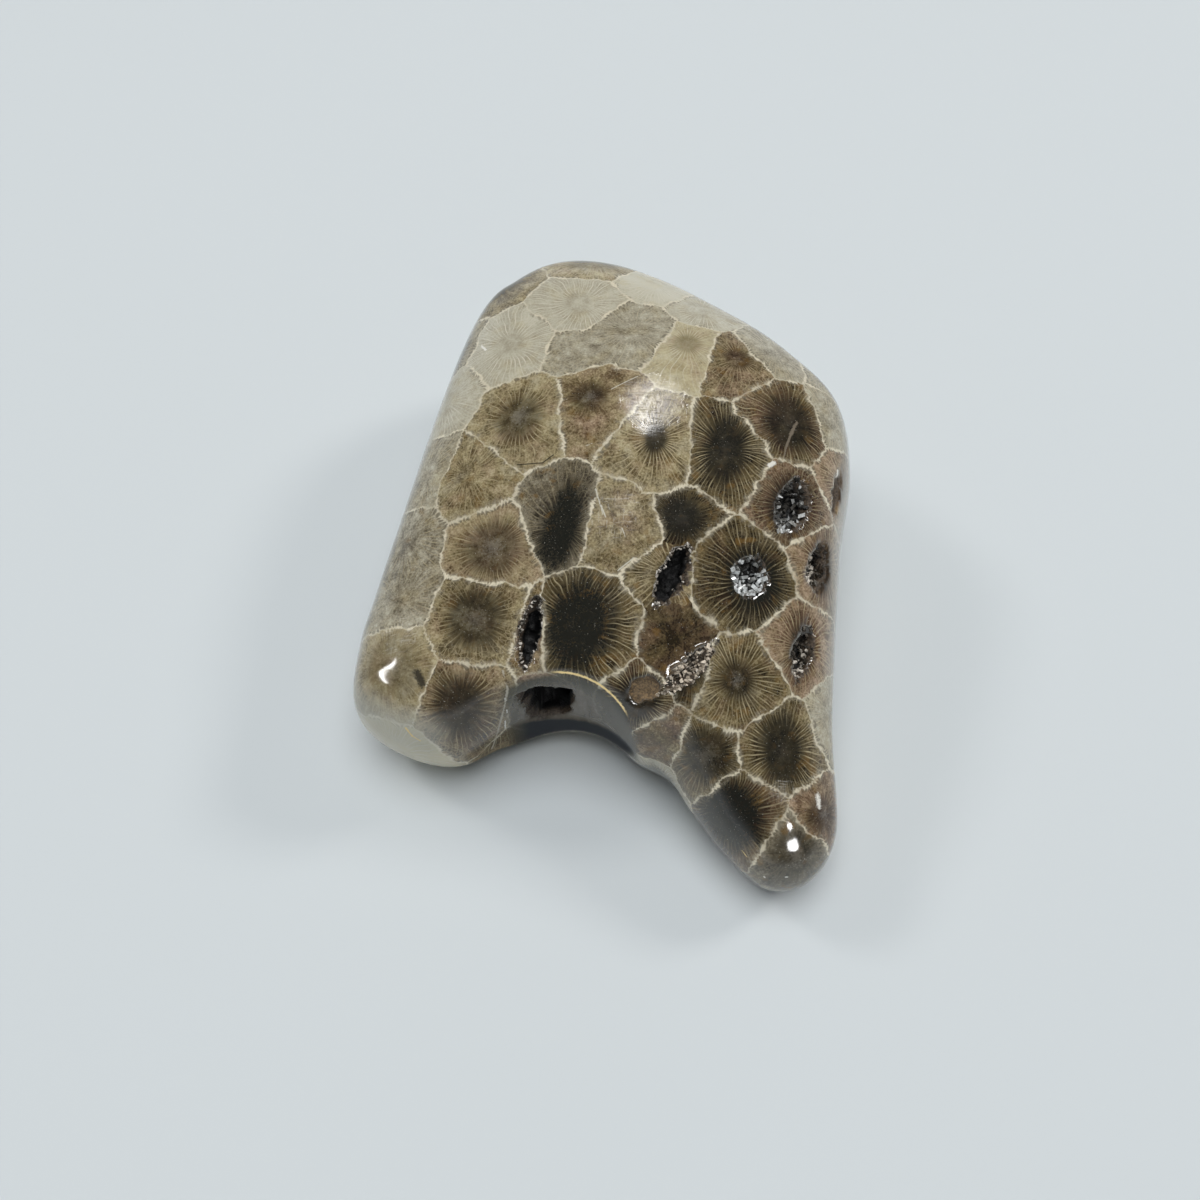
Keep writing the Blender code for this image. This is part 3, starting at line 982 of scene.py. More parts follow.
@dataclass
class CoralStone:
    """The polished stone: cell walls, septa, dark cores and a glossy worn surface."""

    septa: float = 40.0
    wall: float = 0.06
    tooth_length: float = 0.47
    tooth_height: float = 0.15
    septum: float = 0.042
    gloss: float = 0.1
    ior: float = 1.56

    SIZE_IN_AXIS = 0.01
    KIN_EDGE = 9.0
    GREY_STOPS = (
        (0.0, (0.52, 0.485, 0.38)), (0.3, (0.33, 0.295, 0.215)), (0.6, (0.15, 0.125, 0.085)),
        (1.0, (0.030, 0.024, 0.017)),
    )
    OLIVE_STOPS = (
        (0.0, (0.52, 0.455, 0.29)), (0.3, (0.31, 0.25, 0.135)), (0.6, (0.115, 0.083, 0.037)),
        (1.0, (0.022, 0.016, 0.008)),
    )
    ROSY_STOPS = (
        (0.0, (0.52, 0.42, 0.30)), (0.3, (0.32, 0.225, 0.145)), (0.6, (0.13, 0.079, 0.048)),
        (1.0, (0.03, 0.016, 0.011)),
    )
    SCOOP_STOPS = (
        (0.0, (0.030, 0.027, 0.009)), (0.2, (0.052, 0.044, 0.024)), (0.55, (0.125, 0.108, 0.085)),
        (1.0, (0.26, 0.235, 0.21)),
    )
    WALL_COLOUR = (0.68, 0.61, 0.46)
    SEPTUM_COLOUR = (0.42, 0.35, 0.21)
    PALE_SEPTUM_COLOUR = (0.62, 0.57, 0.45)
    CORE_COLOUR = (0.014, 0.014, 0.011)
    HEART_COLOUR = (0.19, 0.17, 0.14)
    BEAD_COLOUR = (0.036, 0.024, 0.011)
    AMBER_COLOUR = (0.18, 0.10, 0.028)
    # painted highlight: the colour of the golden glint along the notch's rim
    RIM_GLINT_COLOUR = (0.96, 0.73, 0.34)
    # the hollows' own dark rough stone, with painted shade in it
    HOLLOW_SHADED_COLOUR = (0.045, 0.031, 0.021)
    CREST_COLOUR = (0.14, 0.10, 0.065)
    ROSETTE_COLOUR = (0.23, 0.15, 0.07)
    # painted shade: near black at the bottom of the hollows
    DEEP_SHADE_COLOUR = (0.005, 0.005, 0.005)
    # painted shade: the near-black under the notch's arch
    UNDERCUT_SHADE_COLOUR = (0.005, 0.008, 0.013)
    # painted reflection: the bright room's sheen on the shoulders
    SHEEN_COLOUR = (0.40, 0.40, 0.36)
    # pale specks: part dust, part painted glints
    DUST_AND_GLINT_COLOUR = (0.50, 0.47, 0.40)
    SCRATCH_COLOUR = (0.62, 0.59, 0.52)
    SCRATCH_LEANS = ((0.5, 5.0, 2.0), (4.5, 0.9, 2.0))
    UNDERCUT_GLOSS = 0.9
    HOLLOW_GLOSS = 0.55

    # where the painted golden highlight along the notch's rim lies
    rim_glint_depth: float = 0.3
    rim_glint_half_width: float = 0.085
    rim_glint_ends: tuple[float, float] = (-4.6, 2.6)
    rosette: WornSpot = WornSpot((3.9, -19.0, 16.6), 1.7)
    worn_spots: tuple[WornSpot, ...] = (
        WornSpot((5.1, 7.4, 24.7), 4.6), WornSpot((1.2, -4.2, 22.6), 3.6),
        WornSpot((-18.0, -13.2, 16.8), 3.0), WornSpot((16.4, -26.9, 12.8), 1.8),
        WornSpot((-11.6, 16.6, 21.4), 1.6),
    )
    flecks: tuple[Fleck, ...] = (
        Fleck(Mark.CHIP_AND_GLINT, (19.5, -26.7, 11.5), (19.6, -27.5, 11.1), 0.32),
        Fleck(Mark.CHIP_AND_GLINT, (15.8, 1.6, 22.3), (16.2, 1.9, 22.2), 0.22),
        Fleck(Mark.CHIP_AND_GLINT, (22.7, 3.0, 19.5), (22.5, 1.0, 19.0), 0.14),
        Fleck(Mark.CHIP_AND_GLINT, (-11.9, 17.2, 21.2), (-11.4, 16.4, 21.5), 0.13),
        # painted highlights: golden glints on the lobe
        Fleck(Mark.GOLDEN_GLINT, (-17.6, -20.6, 12.4), (-17.1, -21.0, 11.6), 0.11),
        Fleck(Mark.GOLDEN_GLINT, (-17.1, -21.0, 11.6), (-16.4, -21.3, 11.2), 0.07),
        # painted highlights: white glints on the left of the notch's wall hole
        Fleck(Mark.CHIP_AND_GLINT, (-8.5, -18.8, 14.9), (-8.5, -18.8, 14.4), 0.09),
        Fleck(Mark.CHIP_AND_GLINT, (-8.5, -18.9, 12.6), (-8.5, -18.9, 11.9), 0.07),
        Fleck(Mark.CHIP_AND_GLINT, (-8.8, -19.0, 10.4), (-8.9, -19.0, 8.8), 0.08),
        # painted highlights: white glints on the leg's tip
        Fleck(Mark.CHIP_AND_GLINT, (14.7, -32.8, 7.4), (14.8, -32.8, 7.4), 0.13),
        Fleck(Mark.CHIP_AND_GLINT, (16.5, -33.0, 8.0), (16.6, -33.0, 8.0), 0.11),
        Fleck(Mark.WALL, (-8.6, -17.3, 17.4), (-8.2, -18.5, 16.2), 0.11),
        Fleck(Mark.WALL, (-8.2, -18.5, 16.2), (-9.2, -19.2, 10.9), 0.13),
        Fleck(Mark.WALL, (-9.2, -19.2, 10.9), (-10.4, -19.7, 5.5), 0.12),
        # painted highlights: golden glints on the leg
        Fleck(Mark.GOLDEN_GLINT, (14.4, -29.5, 11.3), (14.8, -30.3, 10.9), 0.07),
        Fleck(Mark.GOLDEN_GLINT, (12.7, -30.7, 8.5), (13.1, -31.3, 8.3), 0.06),
        Fleck(Mark.SCRATCH, (-0.4, -1.7, 23.2), (0.4, -4.7, 22.6), 0.05),
        Fleck(Mark.SCRATCH, (0.1, -3.3, 22.9), (0.5, -4.4, 22.6), 0.06),
        Fleck(Mark.SCRATCH, (1.6, -9.3, 21.4), (3.0, -8.2, 21.7), 0.06),
        Fleck(Mark.SCRATCH, (2.0, -5.5, 22.4), (2.4, -6.7, 22.2), 0.04),
        Fleck(Mark.SCRATCH, (-1.3, 2.5, 24.1), (-0.7, 2.7, 24.2), 0.06),
        Fleck(Mark.SCRATCH, (1.1, 8.6, 24.8), (3.8, 10.3, 24.8), 0.05),
        Fleck(Mark.SCRATCH, (13.4, -25.6, 13.3), (14.6, -25.0, 13.7), 0.05),
        Fleck(Mark.SCRATCH, (13.5, -26.0, 13.0), (13.8, -27.4, 12.3), 0.04),
        Fleck(Mark.VEIN, (18.7, 6.5, 22.5), (18.0, 5.1, 22.4), 0.18),
        Fleck(Mark.VEIN, (18.0, 5.1, 22.4), (17.5, 3.8, 22.3), 0.12),
        Fleck(Mark.VEIN, (17.5, 3.8, 22.3), (17.2, 2.5, 22.2), 0.08),
        Fleck(Mark.SHADOW, (-16.4, -17.0, 16.5), (-15.9, -18.0, 16.2), 0.42),
        Fleck(Mark.SHADOW, (-7.7, 1.7, 22.2), (-5.3, 1.4, 22.9), 0.06),
        Fleck(Mark.SHADOW, (-5.3, 1.4, 22.9), (-4.3, 2.0, 23.3), 0.07),
    )

    def __post_init__(self) -> None:
        """Start the material, with the fields that all of its parts share."""
        self.sheet = NodeSheet(Slot.STONE.value)
        self.place = self.sheet.place()
        self.normal = self.sheet.normal()
        self.scooped = self.sheet.stored("scooped")
        self.mottle = self.sheet.noise(self.place, 0.9, 5.0, 0.62)
        self.speckle = self.sheet.noise(self.place, 5.0, 3.0, 0.65)
        self.cloud = self.sheet.noise(self.place, 0.28, 2.0)

    def build(self) -> bpy.types.Material:
        """Wire the material.

        Returns:
            The finished material.
        """
        colour = self._colour(self._find_cell())
        self._finish(self._scoop(self._sheen(colour)))
        return self.sheet.material

    def _find_cell(self) -> CellWires:
        """Pick the cell that a point lies in out of the three that its face offers.

        The point is pushed about a little first, which makes the walls wander.

        Returns:
            The cell's wires, with the distance from its wall and the run along it.
        """
        sheet, place, normal = self.sheet, self.place, self.normal
        warped = place + sheet.push(place, 1.5, 0.33, 2.0) + sheet.push(place, 0.65, 0.95, 1.5, 0.45)
        reaches, offsets, pulls, axes = [], [], [], []
        for number in range(3):
            sized = sheet.stored_arrow(f"axis_{number}")
            size = (sized.length() - 1.0) / self.SIZE_IN_AXIS
            axis = sized.unit()
            offset = warped - sheet.stored_arrow(f"seed_{number}")
            height = offset.dot(axis)
            share = height * Colony.AXIS_SHARE
            reaches.append(offset.dot(offset) - share * height - size)
            offsets.append(offset)
            pulls.append(offset - axis * share)
            axes.append(axis)
        swap = reaches[1] < reaches[0]
        near_reach = reaches[0].least(reaches[1])
        far_reach = reaches[0].most(reaches[1])
        third = reaches[2] < near_reach
        own_reach = near_reach.least(reaches[2])
        rest_reach = near_reach.most(reaches[2])
        other_far = far_reach < rest_reach
        other_reach = far_reach.least(rest_reach)

        def ranked(values: list[Arrow]) -> tuple[Arrow, Arrow]:
            """Sort the three offers' values into the own cell's and its neighbour's."""
            near = sheet.pick_arrow(swap, values[0], values[1])
            far = sheet.pick_arrow(swap, values[1], values[0])
            rest = sheet.pick_arrow(third, values[2], near)
            own = sheet.pick_arrow(third, near, values[2])
            return own, sheet.pick_arrow(other_far, rest, far)

        def stored(name: str) -> tuple[Arrow, Arrow]:
            """Read what is stored for the own cell and its neighbour."""
            return ranked([sheet.stored_arrow(f"{name}_{number}") for number in range(3)])

        own_pull, other_pull = ranked(pulls)
        own_offset, other_offset = ranked(offsets)
        own_band, other_band = stored("band")
        apart = own_pull - other_pull
        apart = apart - normal * apart.dot(normal)
        edge = (other_reach - own_reach) / (apart.length().most(0.1) * 2.0)
        run = (own_offset + other_offset).dot(normal.cross(apart.unit())) * 0.5
        ahead = own_band.parts()[2] - other_band.parts()[2]
        edge = (abs(ahead) < 0.5) * self.KIN_EDGE + edge
        return CellWires(place - stored("core")[0], ranked(axes)[0], stored("long")[0],
                         stored("look")[0], stored("line")[0], own_band, edge, run,
                         sheet.math("SIGN", ahead))

    def _teeth(self, cell: CellWires) -> tuple[Number, Number]:
        """Fold the wall between two cells into small arcs, the same seen from both sides.

        Args:
            cell: The cell that the point lies in.

        Returns:
            The distance from the folded wall, and how far into an arc the point is.
        """
        sheet, place = self.sheet, self.place
        turns = cell.run * cell.side * (math.pi / self.tooth_length)
        arc = abs(sheet.math("SINE", turns + sheet.noise(place, 0.6, 1.0) * 14.0))
        size = sheet.noise(place, 0.45, 1.0).slide(0.36, 0.62, 0.2, 1.1)
        height = (arc - 0.64) * self.tooth_height * size * cell.side
        return cell.edge + height, arc

    def _colour(self, cell: CellWires) -> Wire:
        """Paint the cell.

        Args:
            cell: The cell that the point lies in.

        Returns:
            The surface's colour.
        """
        sheet, place = self.sheet, self.place
        mottle, speckle, cloud = self.mottle, self.speckle, self.cloud
        edge, arc = self._teeth(cell)
        radius, ring, _ = cell.band.parts()
        tone, tint, shade = cell.look.parts()
        mesh, strength, phase = cell.line.parts()
        along = cell.along.unit()
        a = cell.offset.dot(along)
        b = cell.offset.dot(cell.axis.cross(along))
        flat = sheet.joined(a, b, 0.0)
        far = flat.length().most(0.05)
        core_far = sheet.joined(a / cell.along.length(), b, 0.0).length() / radius
        rays = flat.unit() * 7.0 + sheet.joined(0.0, 0.0, far * 0.5 + phase * 40.0)
        fibre = sheet.noise(rays, 1.0, 3.0, 0.6)

        # the septa: wavy rays, the minor ones only towards the wall
        turn = sheet.math("ARCTAN2", b, a) * (self.septa / math.tau) + phase
        turn = turn + sheet.noise(place, 0.4, 1.0) * 1.8
        swing = abs(sheet.math("FRACT", turn) - 0.5)
        pitch = far * (math.tau / self.septa)
        reach = far / (far + edge.most(0.01))
        major = ((0.5 - swing) * pitch).slide(self.septum * 1.9, self.septum * 0.3)
        minor = (swing * pitch).slide(self.septum * 1.5, self.septum * 0.2, 0.0, 0.6)
        septa = major.most(minor * reach.slide(0.62, 0.8)) * core_far.slide(0.7, 1.5) * strength
        septa = septa * mottle.slide(0.38, 0.6, 0.35, 1.1) * fibre.slide(0.3, 0.6, 0.45, 1.15)

        # the mottled ground between them
        change = (mottle - 0.5) * 1.35 + (speckle - 0.5) - (fibre - 0.5) * 0.4
        change = change + (cloud - 0.5) * 0.5 + core_far.slide(2.5, 0.9, -0.05, 0.22) * shade
        depth = change * tone.slide(0.0, 0.5, 0.3, 1.0) + tone
        tint = tint + (sheet.noise(place, 0.5, 3.0) - 0.5) * 2.2
        colour = sheet.tinge(tint * -1.0, sheet.colours(depth, self.OLIVE_STOPS),
                             sheet.colours(depth, self.GREY_STOPS))
        colour = sheet.tinge(tint, colour, sheet.colours(depth, self.ROSY_STOPS))
        amber = sheet.noise(place, 0.75, 3.0).slide(0.57, 0.7, 0.0, 0.55) * tone.slide(0.25, 0.55)
        colour = sheet.tinge(amber, colour, self.AMBER_COLOUR)

        # the ragged dark core, with a paler heart where it is faint
        core_edge = core_far + (speckle - 0.5) * 1.3 + (fibre - 0.5) * 0.75 + (mottle - 0.5)
        core = core_edge.slide(1.4, 0.7) * shade * speckle.slide(0.7, 0.45, 0.66, 1.0)
        colour = sheet.tinge(core, colour, self.CORE_COLOUR)
        heart = core_edge.slide(0.6, 0.0, 0.0, 0.5) * shade.slide(0.9, 0.5) * shade.slide(0.2, 0.5)
        colour = sheet.tinge(heart, colour, self.HEART_COLOUR)

        # the foamy band between the septa's ends and the wall
        band = (far - ring).slide(-0.5, 0.6, 0.0, 0.8) * edge.slide(2.2, 0.7, 0.25, 1.0)
        band = band.most(edge.slide(0.8, 0.4, 0.0, 0.7))
        foam = band * mesh * mottle.slide(0.4, 0.56, 0.3, 1.0)
        septa = septa * (1.0 - foam * 0.75)
        ray = sheet.tinge(tone.slide(0.15, 0.4), self.PALE_SEPTUM_COLOUR, self.SEPTUM_COLOUR)
        colour = sheet.tinge(septa * 0.9, colour, ray)
        net_off = sheet.cracks(place, 2.0)
        pores = net_off.slide(0.1, 0.3, 0.0, 0.4) * foam
        colour = sheet.tinge(pores, colour, self.BEAD_COLOUR)
        net = net_off.slide(0.075, 0.01) * foam * 0.7
        colour = sheet.tinge(net, colour, self.SEPTUM_COLOUR)
        # pale specks: part dust, part painted glints
        dust_and_glints = sheet.noise(place, 7.5, 1.0).slide(0.7, 0.78, 0.0, 0.5)
        colour = sheet.tinge(dust_and_glints, colour, self.DUST_AND_GLINT_COLOUR)

        # the toothed pale wall and the dark pockets along it
        pocket = arc.slide(0.4, 0.8) * edge.slide(0.46, 0.3) * cell.side.slide(-0.5, 0.5, 0.25, 1.0)
        pocket = pocket * mottle.slide(0.4, 0.56) * tone.slide(0.0, 0.4, 0.45, 0.85)
        colour = sheet.tinge(pocket, colour, self.BEAD_COLOUR)
        glow = edge.slide(0.6, 0.05, 0.0, 0.38) * mottle.slide(0.42, 0.62)
        colour = sheet.tinge(glow, colour, self.WALL_COLOUR)
        wall_off = abs(edge) - mottle.slide(0.36, 0.64, self.wall * 0.4, self.wall * 2.0)
        wall = wall_off.slide(0.1, -0.04) * speckle.slide(0.3, 0.55, 0.5, 1.0)
        wall = wall * mottle.slide(0.38, 0.6, 0.55, 1.0) * cloud.slide(0.34, 0.56, 0.6, 1.0)
        return sheet.tinge(wall, colour, self.WALL_COLOUR)

    def _sheen(self, colour: Wire) -> Wire:
        """Paint a pale sheen round the shoulders, a painted reflection of the bright room that makes
        the polish look milky, but not in front.

        Args:
            colour: The painted cells.

        Returns:
            The colour with the painted sheen over it.
        """
        # painted reflection: paler where the surface turns from upright towards the sides
        upright = self.cloud * 0.3 + self.normal.parts()[2]
        x, y, _ = self.place.parts()
        front = y.slide(-15.0, -18.5) * x.slide(-15.5, -12.5)
        sheen = upright.slide(0.9, 0.42, 0.0, 0.6) * upright.slide(-0.1, 0.42, 0.25, 1.0)
        sheen = sheen * (1.0 - front * 0.8) * self.scooped.slide(0.5, -0.1)
        return self.sheet.tinge(sheen, colour, self.SHEEN_COLOUR)

    def _scoop(self, colour: Wire) -> Wire:
        """Lay the notch's plain grey wall over the cells, with painted shade on its undercut and a
        painted golden highlight along its rim.

        Args:
            colour: The painted cells.

        Returns:
            The colour with the notch.
        """
        sheet, scooped = self.sheet, self.scooped
        x, _, z = self.place.parts()
        streaked = sheet.vector("MULTIPLY", self.place, (1.0, 1.0, 0.3))
        drift = sheet.noise(streaked, 1.2, 4.0, 0.65) - 0.5
        deep = scooped * 0.19 + drift * 0.9 - x.slide(-5.8, -7.4, 0.0, 0.2)
        veil = scooped.slide(0.2, 0.75, 0.0, 0.9) * x.slide(-9.3, -8.0)
        colour = sheet.tinge(veil, colour, sheet.colours(deep, self.SCOOP_STOPS))
        # painted shade: near-black on the low lip of the notch's wall, where the arch shades the gap
        # beneath
        bow = x + 4.0
        brow = z - bow * bow * 0.045 + drift * 0.8
        undercut_shade = brow.slide(7.8, 7.0) * scooped.slide(0.3, 0.9) * x.slide(-8.6, -6.6)
        colour = sheet.tinge(undercut_shade, colour, self.UNDERCUT_SHADE_COLOUR)
        # painted highlight: a thin golden line along the notch's rim, where light glints on the edge
        off = abs(scooped - self.rim_glint_depth) + (self.speckle - 0.5) * 0.12
        low, high = self.rim_glint_ends
        line = off.slide(self.rim_glint_half_width, self.rim_glint_half_width * 0.3)
        line = line * x.slide(low, low + 1.2) * x.slide(high, high - 0.6)
        return sheet.tinge(line, colour, self.RIM_GLINT_COLOUR)

    def _flecks(self, colour: Wire) -> Wire:
        """Draw the chips, scratches, veins and cell walls, and the painted glints, golden highlights
        and shadows.

        Args:
            colour: The colour under them.

        Returns:
            The colour with them.
        """
        ragged = self.speckle - 0.5
        for mark in Mark:
            cover: Value = 0.0
            for fleck in self.flecks:
                if fleck.mark is mark:
                    off = self.sheet.stroke(self.place, fleck.start, fleck.end)
                    off = off + ragged * (fleck.half_width * 1.6)
                    cover = off.slide(fleck.half_width * 1.3, fleck.half_width * 0.6).most(cover)
            colour = self.sheet.tinge(cover * 0.9, colour, mark.value)
        return colour

    def _finish(self, colour: Wire) -> None:
        """Set the surface's colour, gloss and fine relief, with painted shade deep in the hollows.

        Args:
            colour: The painted colour.
        """
        sheet, place = self.sheet, self.place
        buried = sheet.stored("buried")
        inside = buried.slide(0.04, 0.25)
        rough = sheet.noise(place, 5.0, 4.0, 0.6)
        # the hollows' walls: their own dark rough stone, darkened further with depth as painted
        # shade, near black at the bottom
        dark = sheet.tinge(rough.slide(0.42, 0.7), self.HOLLOW_SHADED_COLOUR, self.CREST_COLOUR)
        dark = sheet.tinge(buried.slide(0.5, 1.1), dark, self.DEEP_SHADE_COLOUR)
        petals = self.speckle.slide(0.35, 0.65, 0.15, 1.0) * sheet.near(place, self.rosette, 0.7)
        dark = sheet.tinge(petals, dark, self.ROSETTE_COLOUR)
        worn: Value = 0.0
        for spot in self.worn_spots:
            worn = sheet.near(place, spot, 0.2).most(worn)
        scratches: Value = 0.0
        for lean in self.SCRATCH_LEANS:
            hairs = sheet.noise(sheet.vector("MULTIPLY", place, lean), 1.0, 3.0, 0.6)
            scratches = hairs.slide(0.56, 0.68).most(scratches)
        scratched = worn * scratches
        colour = sheet.tinge(scratched * 0.3, colour, self.SCRATCH_COLOUR)
        colour = sheet.tinge(inside, colour, dark)
        sheet.feed(sheet.surface["Base Color"], self._flecks(colour))
        gloss = worn * 0.2 + scratched * 0.12 + self.gloss
        low = place.parts()[2].slide(9.5, 7.5)
        gloss = sheet.pick(low * self.scooped.slide(0.3, 0.9), gloss, self.UNDERCUT_GLOSS)
        sheet.feed(sheet.surface["Roughness"], sheet.pick(inside, gloss, self.HOLLOW_GLOSS))
        sheet.feed(sheet.surface["IOR"], self.ior)
        relief = sheet.node("ShaderNodeBump", {
            "Strength": 0.7, "Distance": 0.2 * MM, "Height": rough * inside + scratched * 0.08,
        })
        sheet.feed(sheet.surface["Normal"], Wire(sheet, relief.outputs["Normal"]))


@dataclass
class Pebble:
    """The stone itself: one fine mesh on the same form as the solid model."""

    form: PebbleForm
    name: str = "coral_pebble_surface"
    ball_subdivisions: int = 7
    grain: float = 0.45
    fine_cuts: int = 2
    fine_reach: float = 0.45
    rim_middle: float = 0.41
    rim_reach: float = 0.36

    FILL_STEP = 9

    def build(self) -> bpy.types.Object:
        """Trace the form, mesh it evenly and refine it round the hollows.

        Returns:
            The stone, still in millimetres.
        """
        ball = bmesh.new()
        bmesh.ops.create_icosphere(ball, subdivisions=self.ball_subdivisions, radius=1.0)
        directions = unit(np.array([vertex.co[:] for vertex in ball.verts]))
        places = self.form.trace(directions)
        stone = meshed(self.name, ball)
        mesh = stone.data
        mesh.vertices.foreach_set("co", places.ravel())
        even = stone.modifiers.new("even_mesh", "REMESH")
        even.mode = "VOXEL"
        even.voxel_size = self.grain
        LOG.info("traced %d places", len(places))
        fine = bmesh.new()
        fine.from_object(stone, bpy.context.evaluated_depsgraph_get())
        stone.modifiers.clear()
        self._settle(fine)
        places = np.array([vertex.co[:] for vertex in fine.verts])
        on_rim = np.abs(self.form.whole(places) + self.rim_middle) < self.rim_reach
        close = (self.form.openings(places) < self.fine_reach) | on_rim
        edges = [edge for edge in fine.edges
                 if close[edge.verts[0].index] and close[edge.verts[1].index]]
        bmesh.ops.subdivide_edges(fine, edges=edges, cuts=self.fine_cuts, use_grid_fill=True)
        self._settle(fine)
        self._settle(fine)
        fine.to_mesh(mesh)
        fine.free()
        mesh.shade_smooth()
        LOG.info("stone mesh: %d faces", len(mesh.polygons))
        return stone

    def _settle(self, shape: bmesh.types.BMesh) -> None:
        """Lay every vertex on the form's surface."""
        shape.verts.ensure_lookup_table()
        places = np.array([vertex.co[:] for vertex in shape.verts])
        for vertex, place in zip(shape.verts, self.form.settle(places, self.form.hollowed, 1)):
            vertex.co = place

    def paint(self, stone: bpy.types.Object, colony: Colony) -> None:
        """Store each face's nearest cells, and how deep each vertex is in a hollow or notch.

        Args:
            stone: The stone, in millimetres.
            colony: The cells.
        """
        mesh = stone.data
        places = read(mesh.vertices, "co")
        for name, field in (("buried", self.form.uncut), ("scooped", self.form.whole)):
            depth = mesh.attributes.new(name, "FLOAT", "POINT")
            depth.data.foreach_set("value", np.maximum(-field(places), 0).astype(np.float32))
        centres = read(mesh.polygons, "center")
        colony.fill(centres[::self.FILL_STEP])
        nearest = colony.nearest(centres)
        for name, row in colony.rows().items():
            for number in range(3):
                layer = mesh.attributes.new(f"{name}_{number}", "FLOAT_VECTOR", "FACE")
                layer.data.foreach_set("vector", row[nearest[:, number]].astype(np.float32).ravel())
        LOG.info("colony: %d cells", len(colony.cells))


@dataclass
class CrystalCrust:
    """The small crystals that line one hollow, joined in one mesh."""

    form: PebbleForm
    hollow: Hollow
    spacing: float = 0.23
    depth_below: float = 0.04
    least_height: float = 0.07
    radii: tuple[float, float] = (0.06, 0.19)
    # how much paler the crystals on the lit side are made: painted light
    painted_light_gain: float = 0.6
    wall_reach: float = 0.2
    tooth_share: float = 0.6
    sunk_share: float = 0.25
    shrink: float = 0.8

    def build(self, stone: bpy.types.Object) -> bpy.types.Object:
        """Grow crystals from the hollow's wall.

        Args:
            stone: The stone, in millimetres.

        Returns:
            The crust, in millimetres.
        """
        wander = random.Random(self.hollow.name)
        pale_share, crowding, _, size, warmth = self.hollow.lining.value
        middle = self._middle()
        # crystals on the side that faces the light are made paler: painted light
        angle = math.radians(self.hollow.lit)
        lit = np.array([math.cos(angle), math.sin(angle), 0.0]) / (self.hollow.length / 2)
        shape = bmesh.new()
        pale = shape.faces.layers.float.new("pale")
        warm = shape.faces.layers.float.new("warm")
        for root, normal in self._roots(stone, wander, self.spacing * size / crowding):
            share = pale_share + self.painted_light_gain * (root - middle) @ lit
            self._grow(shape, pale, root, normal, wander, share)
        for face in shape.faces:
            face[warm] = warmth
        crust = meshed(self.hollow.name + "_druse", shape)
        LOG.info("%s: %d faces", crust.name, len(crust.data.polygons))
        return crust

    def _roots(self, stone: bpy.types.Object, wander: random.Random,
               spacing: float) -> list[tuple[Array, Array]]:
        """Choose where crystals stand on the hollow's wall.

        Args:
            stone: The stone, in millimetres.
            wander: Source of the random draws.
            spacing: Least distance between two crystals.

        Returns:
            The foot and the surface's normal of each crystal.
        """
        places = read(stone.data.vertices, "co")
        close = np.linalg.norm(places - self._middle(), axis=1) < self.hollow.length
        places = places[close]
        lining = self.form.hollow_field(self.hollow, places) < self.wall_reach
        depth = -self.form.uncut(places)
        lining &= depth > self.depth_below + self.least_height
        lining &= depth < self.hollow.lining.value[2]
        places = places[lining]
        order = list(range(len(places)))
        wander.shuffle(order)
        kept: list[int] = []
        for number in order:
            gaps = np.linalg.norm(places[kept] - places[number], axis=1)
            if not kept or gaps.min() > spacing:
                kept.append(number)
        roots = places[kept]
        normals = unit(self.form.slope(roots, self.form.hollowed))
        return list(zip(roots, normals))

    def _middle(self) -> Array:
        """Give the middle of the hollow's mouth."""
        return self.form.setting(self.hollow.x, self.hollow.y, self.hollow.heading)[0]

    def _grow(self, shape: bmesh.types.BMesh, pale: bmesh.types.BMLayerItem, root: Array,
              normal: Array, wander: random.Random, pale_share: float) -> None:
        """Add one crystal, a blunt tooth or a slanted block.

        Args:
            shape: The crust.
            pale: The layer that holds how pale each crystal is: its own whiteness, with painted light
                on the lit side.
            root: The crystal's foot.
            normal: The direction that it grows in, before it leans.
            wander: Source of the random draws.
            pale_share: Share of pale crystals, raised on the side that faces the light as painted
                light.
        """
        lean = np.array([wander.gauss(0, 0.4) for _ in range(3)])
        direction = unit(normal + lean)
        radius = wander.uniform(*self.radii) * self.hollow.lining.value[3]
        height = radius * wander.uniform(1.3, 3.0)
        while height > self.least_height:
            tip = root + direction * height
            if self.form.uncut(tip[None])[0] < -self.depth_below - radius * 0.35:
                break
            height *= self.shrink
        turn = Vector(direction).to_track_quat("Z", "Y").to_matrix().to_4x4()
        turn = turn @ Matrix.Rotation(wander.uniform(0, math.tau), 4, "Z")
        sunk = self.sunk_share * height
        middle = Vector(root + direction * (height - sunk) / 2)
        if wander.random() < self.tooth_share:
            made = bmesh.ops.create_cone(
                shape, cap_ends=True, segments=wander.choice((5, 6)), radius1=radius,
                radius2=radius * wander.uniform(0.1, 0.5), depth=height + sunk,
                matrix=Matrix.Translation(middle) @ turn,
            )
        else:
            slant = Matrix.Shear("XY", 4, (wander.uniform(-0.4, 0.4), wander.uniform(-0.4, 0.4)))
            sides = Matrix.Diagonal((radius * 1.5, radius * 1.5, height + sunk, 1))
            made = bmesh.ops.create_cube(
                shape, size=1.0, matrix=Matrix.Translation(middle) @ turn @ slant @ sides,
            )
        share = wander.uniform(0.5, 1.0) if wander.random() < pale_share else wander.uniform(0, 0.35)
        for face in {face for vertex in made["verts"] for face in vertex.link_faces}:
            face[pale] = share


